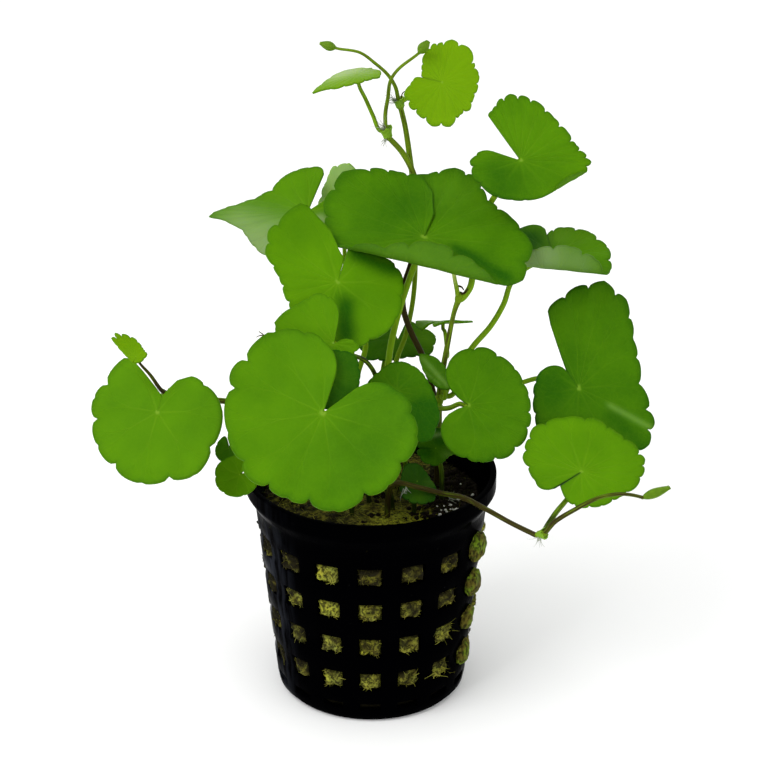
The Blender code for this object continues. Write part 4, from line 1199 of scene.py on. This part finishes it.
# %% [markdown]
# ## The net pot
#
# The pot is one moulding of thin black plastic: a tapered cup whose wall is a
# grid of ribs round square holes, with a plain collar that flares at the top.
# Cutting a hundred holes with Boolean modifiers is slow and leaves long thin
# faces. It is simpler to lay the outer skin out as a grid whose lines run
# along the edges of the holes, and to leave the holes' cells out. Solidify
# then gives the wall its thickness and Bevel rounds the moulded edges, and
# those are what catch the light on black plastic.

# %% The pot's skin
BASE_RADIUS, EDGE_RADIUS, FOOT_RADIUS = 17.9, 19.0, 19.3
EDGE_HEIGHT, FOOT_HEIGHT = 1.2, 2.8
WALL_TOP_RADIUS, COLLAR_RADIUS = 23.2, 25.0
COLLAR_BOTTOM, COLLAR_TOP, POT_HEIGHT = 41.0, 44.0, 47.0
POT_WALL = 1.2
COLUMNS, ROWS = 16, 4
ROW_PITCH, TOP_ROW_CENTRE = 8.25, 34.5
HOLE_HALF_HEIGHT, HOLE_HALF_ANGLE = 2.14, 6.4
HOLE_STEPS, RIB_STEPS = 6, 4          # cells of the grid across a hole and across a rib
LEVELS = (-1, -0.5, 0, 0.5, 1)        # heights at a row, as shares of a hole's half height
RIB_DEPTH = 0.25                      # mm: how much deeper the ribs beside the holes lie
SLOT_TOP = 4.4
FIRST_COLUMN = -90.65                 # degrees
FLOOR_CENTRE, FLOOR_SLOT_END, FLOOR_EDGE = 6.0, 13.0, 17.1
FLOOR_STEP, BAND = 0.25, 38.8         # heights: the underside's edge, and the band over the holes
COLLAR_CURVE = [COLLAR_BOTTOM, 42.0, 43.0, COLLAR_TOP, 44.6, 46.7, POT_HEIGHT]
SQUEEZED_COLUMN = 3
ROW_CENTRES = [TOP_ROW_CENTRE - ROW_PITCH * k for k in reversed(range(ROWS))]


def pot_radius(height):
    """Outer radius at a height: straight lines between the measured places."""
    return np.interp(height, [0, EDGE_HEIGHT, FOOT_HEIGHT, COLLAR_BOTTOM, COLLAR_TOP, POT_HEIGHT],
                     [BASE_RADIUS, EDGE_RADIUS, FOOT_RADIUS, WALL_TOP_RADIUS, COLLAR_RADIUS, COLLAR_RADIUS])


def pot_mesh():
    """A grid of (turn, place up the profile) without the cells of the holes.

    Profile = floor radii at height 0, then the wall's heights. The wall beside
    the holes lies a little deeper than the rings between two rows of holes.
    """
    floor_radii = [FLOOR_CENTRE, FLOOR_SLOT_END, FLOOR_EDGE, BASE_RADIUS]
    below = [FLOOR_STEP, EDGE_HEIGHT, FOOT_HEIGHT, SLOT_TOP]
    rows = np.add.outer(ROW_CENTRES, HOLE_HALF_HEIGHT * np.array(LEVELS)).ravel()
    heights = np.concatenate([below, rows, [BAND], COLLAR_CURVE])
    radius = np.concatenate([floor_radii, pot_radius(heights)])
    height = np.concatenate([np.zeros(len(floor_radii)), heights])
    rib_angle = 360 / COLUMNS - HOLE_HALF_ANGLE
    hole_turns = np.linspace(-HOLE_HALF_ANGLE, HOLE_HALF_ANGLE, HOLE_STEPS + 1)
    rib_turns = np.linspace(HOLE_HALF_ANGLE, rib_angle, RIB_STEPS + 1)[1:-1]
    steps = np.concatenate([hole_turns, rib_turns])
    turn = np.radians(FIRST_COLUMN + (np.arange(COLUMNS)[:, None] * 360 / COLUMNS + steps).ravel())
    in_window = np.tile(np.arange(len(steps)) < HOLE_STEPS, COLUMNS)
    odd_column = np.repeat(np.arange(COLUMNS) % 2 == 1, len(steps))
    first_row, levels = len(floor_radii) + len(below), len(LEVELS)
    open_rows = np.zeros(len(radius) - 1, bool)
    open_rows[first_row:first_row + levels * ROWS] = ([True] * (levels - 1) + [False]) * ROWS
    open_rows[len(floor_radii) + below.index(FOOT_HEIGHT)] = True
    is_open = open_rows[:, None] & in_window
    is_open[0] = in_window & odd_column
    radius[first_row:first_row + levels * ROWS] -= ([0.0] + [RIB_DEPTH] * (levels - 2) + [0.0]) * ROWS
    points = polar(radius[:, None], turn, height[:, None]).reshape(-1, 3)
    quads = grid_faces(len(radius), len(turn), around=True).reshape(len(radius) - 1, len(turn), 4)
    ring = np.arange(len(turn))
    floor_fan = fan(len(points), np.roll(ring, -1), ring)
    return mesh_from(np.vstack([points, [0.0, 0.0, 0.0]]), [quads[~is_open][:, ::-1], floor_fan], 35)


# %% [markdown]
# ### Black plastic
#
# Black plastic has no colour to speak of. This pot hardly shines either: what
# tells its wall from a flat black patch is a bluish sheen painted on its left
# side in upright streaks, standing for the light the wet wall reflects there,
# and some pale specks painted as glints. The roughness changes from place to
# place too, and very shallow waves in the wall break up what little it reflects.

# %% Pot finish
# Where the painted bluish sheen lies: it stands for light that the wet left side reflects
SHEEN_FROM, SHEEN_TO = -14 * MM, -21 * MM      # x: where the film starts and where it is whole
SHEEN_LOW, SHEEN_HIGH = 34 * MM, 43 * MM       # z: it is whole below and faint at the collar

pot_black = Finish("black plastic", 0.2, specular=0.001)
smear = pot_black.noise(5.0, 4.0, pot_black.stretched(1.0, 1.0, 0.45))
# Pale specks painted as glints on the wet plastic
glint_speck = pot_black.between(pot_black.noise(0.55, 2.0), 0.72, 0.78)
x, z = pot_black.parts(pot_black.place)[::2]
painted_sheen = pot_black.between(pot_black.noise(1.6, 3.0, pot_black.stretched(1.0, 1.0, 0.12)), 0.38, 0.62)
painted_sheen = pot_black.times(painted_sheen, pot_black.between(x, SHEEN_TO, SHEEN_FROM, 1.0, 0.0))
painted_sheen = pot_black.times(painted_sheen, pot_black.between(z, SHEEN_LOW, SHEEN_HIGH, 1.0, 0.15))
black = pot_black.mix(painted_sheen, (0.0002, 0.0002, 0.0004), (0.017, 0.019, 0.025))
pot_black.colour(pot_black.mix(pot_black.times(glint_speck, 0.12), black, (0.04, 0.04, 0.036)))
pot_black.feed(pot_black.surface["Roughness"], pot_black.between(smear, 0.35, 0.7, 0.12, 0.42))
pot_black.bump(pot_black.sum("ADD", smear, pot_black.times(pot_black.noise(0.9), 0.35)), 0.35, 0.35)

pot = add_piece("pot", pot_mesh(), [pot_black], "net_pot")
thicken(pot, POT_WALL, -1.0).use_even_offset = True
edges = pot.modifiers.new("edges", "BEVEL")
edges.width = 0.22 * MM
edges.segments = 2
edges.limit_method = "ANGLE"
edges.angle_limit = math.radians(50)
print("pot faces before its wall:", len(pot.data.polygons))

# %% [markdown]
# ## Rock wool
#
# The plug is spun stone: short fibres in every direction, stained yellow-green
# by algae and brown by roots. A plain bumpy solid would look like clay, so it
# takes two layers. Below is a lumpy plug that swells into each hole of the
# pot, and on it lie thousands of threads that break up its outline.
#
# The lumps are a sum of sines along random directions, with seeded phases,
# which is cheap on whole arrays. How far the plug swells into a hole is a
# product of two soft windows, one round the pot and one up it.

# %% The plug
WOOL_DOME = 0.7
WOOL_GAP = 0.3
SWELL = 1.65          # mm into a hole
SLOT_CENTRE, SLOT_HALF = FOOT_HEIGHT + 0.8, 0.7
WOOL_RIM = float(pot_radius(COLLAR_BOTTOM)) - POT_WALL - WOOL_GAP
PLUG_TURNS, PLUG_LEVELS, TOP_RINGS = 288, 104, 52      # of the grid


def lumps(points, size, seed):
    """Smooth seeded noise round 0: the sum of eight sines along random directions.

    The sum is divided by the square root of 8 and by 1.4, so it rarely passes 1.
    Each use has a seed of its own, so that no two patterns are alike.
    """
    rng = np.random.default_rng(seed)
    total = 0.0
    for heading, phase in zip(random_directions(rng, 8), rng.uniform(0, 6.28, 8)):
        total = total + np.sin(points @ heading * (2 * math.pi / size) * rng.uniform(0.7, 1.4) + phase)
    return total / 8 ** 0.5 / 1.4


def soft_window(away):
    """1 in the middle, 0 from away = 1 outwards, with a smooth step between 0.7 and 1."""
    step = np.clip((1.0 - away) / 0.3, 0, 1)
    return step * step * (3 - 2 * step)


def swelling(turn, height):
    """How far the wool swells out at a turn (degrees from the first column) and height.

    Each hole is a soft window in the turn times a soft window in the height,
    with its own strength from 0.8 to 1: the fraction of a large sine. The low
    slots stay empty.
    """
    pitch = 360 / COLUMNS
    column = np.round(turn / pitch)
    side = soft_window(np.abs(turn - column * pitch) / HOLE_HALF_ANGLE)
    rows = np.array([SLOT_CENTRE] + ROW_CENTRES)
    halves = np.array([SLOT_HALF] + [HOLE_HALF_HEIGHT] * ROWS)
    nearest = np.argmin(np.abs(height[..., None] - rows), axis=-1)
    lift = soft_window(np.abs(height - rows[nearest]) / halves[nearest])
    own = np.sin(column * 12.9 + nearest * 78.2) * 43758.5
    own = 0.8 + 0.2 * (own - np.floor(own))
    return side * lift * SWELL * own * (nearest > 0)


def wool_wall(turn, height):
    """Points on the plug's side for a turn in degrees from the first column.

    The plug is the inside of the pot less a gap, narrower in the foot, plus
    the swelling and some lumps.
    """
    radius = pot_radius(height) - POT_WALL - WOOL_GAP
    radius = radius - 1.2 * np.clip((FOOT_HEIGHT - height) / FOOT_HEIGHT, 0, 1)
    angle = np.radians(FIRST_COLUMN + turn)
    flat = polar(radius, angle, height)
    push = swelling(turn, height) * (1 + 0.35 * lumps(flat, 2.2, 41)) + 0.18 * (lumps(flat, 2.5, 42) - 1)
    return flat + push[..., None] * polar(1.0, angle, 0.0)


def wool_top(radius, angle):
    """Points on the plug's domed top, for a radius in mm and an angle in radians."""
    height = COLLAR_BOTTOM + WOOL_DOME * (1 - (radius / WOOL_RIM) ** 2)
    flat = polar(radius, angle, height)
    rise = 0.45 * lumps(flat, 7.0, 43) + 0.3 * lumps(flat, 2.4, 44)
    flat[..., 2] += rise * np.clip((WOOL_RIM - radius) / 1.5, 0, 1)
    return flat


# How dark and brown the wool is in each hole (row from the foot, column): no two are alike
HOLE_MOODS = np.random.default_rng(55).uniform(0.1, 0.9, (ROWS, COLUMNS))
# The four columns at the front, from left to right, as in the photo, and three at the left
HOLE_MOODS[:, [15, 0, 1, 2]] = ((0.4, 0.4, 0.65, 0.55), (0.4, 0.55, 0.5, 0.35), (0.1, 0.5, 0.65, 0.75),
                                (0.12, 0.8, 0.85, 0.9))
HOLE_MOODS[:, [12, 13]] = 1.0
HOLE_MOODS[:, 14] = (0.75, 0.75, 0.5, 0.95)
TOP_MOOD = 0.6
# Painted light: a lit golden patch at the front of the wool's top
LIT_SPOT, LIT_SPOT_SIZE = np.array([6.0, -11.0]), np.array([6.0, 4.0])      # x and y, in mm
TOP_FROM = 38.0       # mm: wool above this height belongs to the top
# Painted shade: the wool behind the low slots is black
SLOTS_TO = 5.0        # mm: wool below this height is behind the low slots


def wool_stain(points):
    """Three numbers for colour: how yellow, how brown and how dark the wool is here.

    Each is a sum of lumps. Light and shade are painted on: a lit golden patch at
    the front of the top, black shade on the wool behind the foot slots, and shade
    under the bar over each hole. Each hole has its mood.
    """
    x, y, z = points.T
    top = z > TOP_FROM
    lit_spot = np.exp(-np.sum(((points[:, :2] - LIT_SPOT) / LIT_SPOT_SIZE) ** 2, axis=1)) * top
    column = np.round((np.degrees(np.arctan2(y, x)) - FIRST_COLUMN) / (360 / COLUMNS)).astype(int) % COLUMNS
    row = np.argmin(np.abs(z[:, None] - ROW_CENTRES), axis=1)
    mood = np.where(top, TOP_MOOD, HOLE_MOODS[row, column])
    side_shade = 0.6 * (x > 12) + 0.2 * (x < -5)      # crumbs lie there, most on the right
    yellow = 0.45 + 0.3 * lumps(points, 9.0, 51) + 0.25 * lumps(points, 2.0, 52) + 0.6 * lit_spot
    brown = 0.1 + 0.5 * mood + 0.3 * lumps(points, 3.0, 53) + 0.15 * top - 0.7 * lit_spot
    dark = 1.25 * mood - 0.1 + 0.4 * lumps(points, 2.2, 54) - 1.0 * lit_spot
    dark = dark + top * side_shade + 2.0 * (z < SLOTS_TO)
    # Painted shade under the bar over each hole: darker towards the hole's top
    shade_under_bar = np.clip((z - np.array(ROW_CENTRES)[row]) / HOLE_HALF_HEIGHT, -1, 1)
    return np.clip(np.stack([yellow, brown, dark + 0.25 * shade_under_bar * ~top], -1), 0, [1, 1, 1.12])


def wool_mesh():
    """Bottom disc, side and top in one grid of (place along the profile, turn)."""
    turns = np.linspace(0, 360, PLUG_TURNS, endpoint=False)
    side = wool_wall(*np.meshgrid(turns, np.linspace(POT_WALL + WOOL_GAP, COLLAR_BOTTOM, PLUG_LEVELS)))
    angle, radius = np.meshgrid(np.radians(FIRST_COLUMN + turns), np.linspace(WOOL_RIM, 0.4, TOP_RINGS)[1:])
    grid = np.concatenate([side, wool_top(radius, angle)], axis=0)
    mesh = mesh_from(grid, capped_faces(*grid.shape[:2]), 180)
    keep_numbers(mesh, "stain", wool_stain(grid.reshape(-1, 3)))
    return mesh


# %% Wool finish
def wool_finish(name, gain, shade):
    """Yellow-green, brown and dark stains mixed by the mesh's numbers, with a fine matted relief."""
    skin = Finish(name, 0.85, specular=0.05)
    yellow, brown, dark = skin.attribute("stain")
    fine = skin.noise(0.6, 4.0)
    base = skin.mix(yellow, (0.19 * gain, 0.22 * gain, 0.04 * gain), (0.38 * gain, 0.38 * gain, 0.03 * gain))
    base = skin.mix(skin.times(brown, 0.6), base, (0.15 * gain, 0.08 * gain, 0.02 * gain))
    base = skin.mix(skin.times(dark, 0.95), base, (0.008, 0.007, 0.003))
    skin.colour(skin.mix(skin.between(fine, 0.42, 0.58, 0.0, shade), base, (0.014, 0.012, 0.004)))
    skin.bump(fine, 0.4, 0.8)
    return skin


wool_bed = wool_finish("matted wool", 1.1, 0.85)
wool_thread = wool_finish("wool fibre", 1.55, 0.15)
wool = add_piece("wool", wool_mesh(), [wool_bed], "rock_wool")
print("wool faces:", len(wool.data.polygons))


# %% Balls, and cushions squeezed out of the pot
def ball(rings, sides):
    """Points of a ball of radius 1 and its faces: rings of quads and a fan at each pole."""
    tilt = np.linspace(0, math.pi, rings + 2)[1:-1, None]
    turn = np.linspace(0, 2 * math.pi, sides, endpoint=False)
    points = np.vstack([polar(np.sin(tilt), turn, np.cos(tilt)).reshape(-1, 3), [0, 0, 1.0], [0, 0, -1.0]])
    ring, last = np.arange(sides), (rings - 1) * sides
    top = fan(rings * sides, ring, np.roll(ring, -1))
    bottom = fan(rings * sides + 1, last + np.roll(ring, -1), last + ring)
    return points, grid_faces(rings, sides, around=True), np.vstack([top, bottom])


def cushion_mesh(row, half_height, half_width, thick):
    """A lumpy ball laid on the pot's wall: its back, behind the wall's skin, is cut short.

    Powers below 1 make the ball fuller at its sides.
    """
    points, quads, fans = ball(31, 44)
    rough = 1 + 0.16 * lumps(points + 4 * row, 1.6, 91) + 0.06 * lumps(points + 4 * row, 0.45, 92)
    out, side, up = (points * rough[:, None]).T
    side, up = np.sign(side) * np.abs(side) ** 0.7, np.sign(up) * np.abs(up) ** 0.8
    height = ROW_CENTRES[row] + half_height * up
    middle = math.radians(FIRST_COLUMN + SQUEEZED_COLUMN * 360 / COLUMNS)
    angle = middle + half_width * side / WALL_TOP_RADIUS
    radius = pot_radius(height) + thick * np.maximum(out, -0.3)
    return mesh_from(polar(radius, angle, height), [quads, fans], 180)


wool_clump = Finish("wool clump", 0.7, specular=0.05)
fibrous = wool_clump.noise(0.5, 4.0, wool_clump.stretched(1.0, 1.0, 0.5))
stained = wool_clump.between(wool_clump.noise(2.2), 0.4, 0.6)
stained = wool_clump.mix(stained, (0.10, 0.085, 0.012), (0.12, 0.19, 0.01))
gaps = wool_clump.between(fibrous, 0.36, 0.6, 0.85, 0.0)
wool_clump.colour(wool_clump.mix(gaps, stained, (0.012, 0.01, 0.003)))
wool_clump.bump(fibrous, 0.4, 0.8)

# cushion, by its row from the foot: half height, half width and thickness in mm
CUSHIONS = {3: (3.3, 2.4, 1.9), 2: (2.9, 2.3, 1.8), 1: (2.5, 2.2, 1.3), 0: (2.8, 2.1, 1.4)}
for row, sizes in CUSHIONS.items():
    add_piece(f"cushion_{row}", cushion_mesh(row, *sizes), [wool_clump])
print("cushions:", len(CUSHIONS))

# %% Fibres on the top and in the holes
TOP_FIBRES = 3200
HOLE_FIBRES = 70
CURLY_FIBRES = 45      # in each hole whose wool curls over the bars
FIBRE_SEED = 61

rng = np.random.default_rng(FIBRE_SEED)


def add_fibres(name, mesh, roots):
    """A piece of fibres, stained as the wool is at their roots, with the darkness changed at random."""
    stain = wool_stain(roots)
    stain[:, 2] = np.clip(stain[:, 2] + rng.uniform(-0.45, 0.45, len(roots)), 0, 1)
    keep_numbers(mesh, "stain", np.repeat(stain, (THREAD_STEPS + 1) * THREAD_SIDES, axis=0))
    add_piece(name, mesh, [wool_thread])


roots = wool_top(WOOL_RIM * 0.98 * np.sqrt(rng.uniform(0, 1, TOP_FIBRES)),
                 rng.uniform(0, 2 * math.pi, TOP_FIBRES))
heading = random_directions(rng, TOP_FIBRES)
heading[:, 2] = np.abs(heading[:, 2]) * 0.35
heading[:, :2] -= roots[:, :2] / WOOL_RIM * 0.5
bend = 0.5 * random_directions(rng, TOP_FIBRES)
bend[:, 2] = -np.abs(bend[:, 2]) - 0.1
length = rng.uniform(1.2, 3.4, TOP_FIBRES)
thick = rng.uniform(0.04, 0.085, TOP_FIBRES)
add_fibres("top_fibres", threads_mesh(roots, unit(heading), length, thick, bend), roots)

columns, rows = np.meshgrid(np.arange(COLUMNS), np.arange(ROWS))
curly = (columns.ravel() == SQUEEZED_COLUMN - 1) & (rows.ravel() < 2)
many = HOLE_FIBRES + CURLY_FIBRES * curly
column, row = np.repeat(columns.ravel(), many), np.repeat(rows.ravel(), many)
count = len(column)
turn = column * 360 / COLUMNS + rng.uniform(-0.85, 0.85, count) * HOLE_HALF_ANGLE
height = np.array(ROW_CENTRES)[row] + rng.uniform(-0.85, 0.85, count) * HOLE_HALF_HEIGHT
roots = wool_wall(turn, height)
outward = unit(roots * [1, 1, 0])
heading = random_directions(rng, count)
heading -= outward * np.sum(heading * outward, axis=1, keepdims=True)
heading = unit(unit(heading) + outward * rng.uniform(0.05, 0.35, count)[:, None])
long = np.repeat(curly, many) & (rng.uniform(0, 1, count) < 0.5)
length = rng.uniform(0.4, 1.1, count) * np.where(long, 1.6, 1.0)
thick = rng.uniform(0.04, 0.08, count) * np.where(long, 1.2, 1.0)
bend = 0.35 * random_directions(rng, count) * np.where(long, 4.0, 1.0)[:, None] - 0.2 * outward
add_fibres("hole_fibres", threads_mesh(roots - 0.1 * outward, heading, length, thick, bend), roots)
print("fibres:", TOP_FIBRES + count)

# %% [markdown]
# ## Crumbs on the wool
#
# Dark crumbs of peat lie on the wool inside the rim, most of them on the right,
# and a few pale grains among them are painted glints: bright points where the wet
# wool shines. Each is a small lumpy ball of a few dozen faces.

# %% Crumbs and grains
CRUMB_SEED = 71        # for the places and sizes; the next two are for the lumps
PEAT_SEED, GLINT_SEED = 72, 73


def crumbs_mesh(centres, sizes, seed):
    """Lumpy balls: radius = size * (1 + 0.35 * lumps), flattened by a fifth."""
    points, quads, fans = ball(5, 7)
    centres, sizes = centres[:, None], sizes[:, None, None]
    rough = 1 + 0.35 * lumps(centres + points * sizes, 0.9, seed)
    faces = [copies(group, len(centres), len(points)) for group in (quads, fans)]
    return mesh_from(centres + points * sizes * rough[..., None] * [1, 1, 0.8], faces, 180)


def scattered(rng, count, middle, spread):
    """Places on the wool's top round a middle, kept inside the rim."""
    flat = np.array(middle) + rng.normal(size=(count, 2)) * spread
    radius = np.minimum(np.linalg.norm(flat, axis=1), WOOL_RIM * 0.97)
    return wool_top(radius, np.arctan2(flat[:, 1], flat[:, 0]))


peat = blotched("peat crumbs", 0.8, 0.8, (0.002, 0.0016, 0.001), (0.016, 0.01, 0.005), (0.2, 0.1, 0.8),
                specular=0.05)
# Small pale balls painted as the white glints of the wet wool
glint_grain = blotched("glint grains", 0.45, 0.6, (0.45, 0.44, 0.38), (0.85, 0.85, 0.8), (0.2, 0.08, 0.6),
                      specular=0.4)

rng = np.random.default_rng(CRUMB_SEED)
places = np.vstack([scattered(rng, 420, (16, -2), (5, 8)), scattered(rng, 160, (-6, 5), (9, 7))])
mesh = crumbs_mesh(places + [0, 0, 0.1], rng.uniform(0.2, 0.8, len(places)), PEAT_SEED)
add_piece("peat_crumbs", mesh, [peat])
glint_places = scattered(rng, 34, (16, -7), (4, 5))
mesh = crumbs_mesh(glint_places + [0, 0, 0.6], rng.uniform(0.12, 0.4, len(glint_places)), GLINT_SEED)
add_piece("glint_grains", mesh, [glint_grain])
print("crumbs:", len(places), "grains:", len(glint_places))
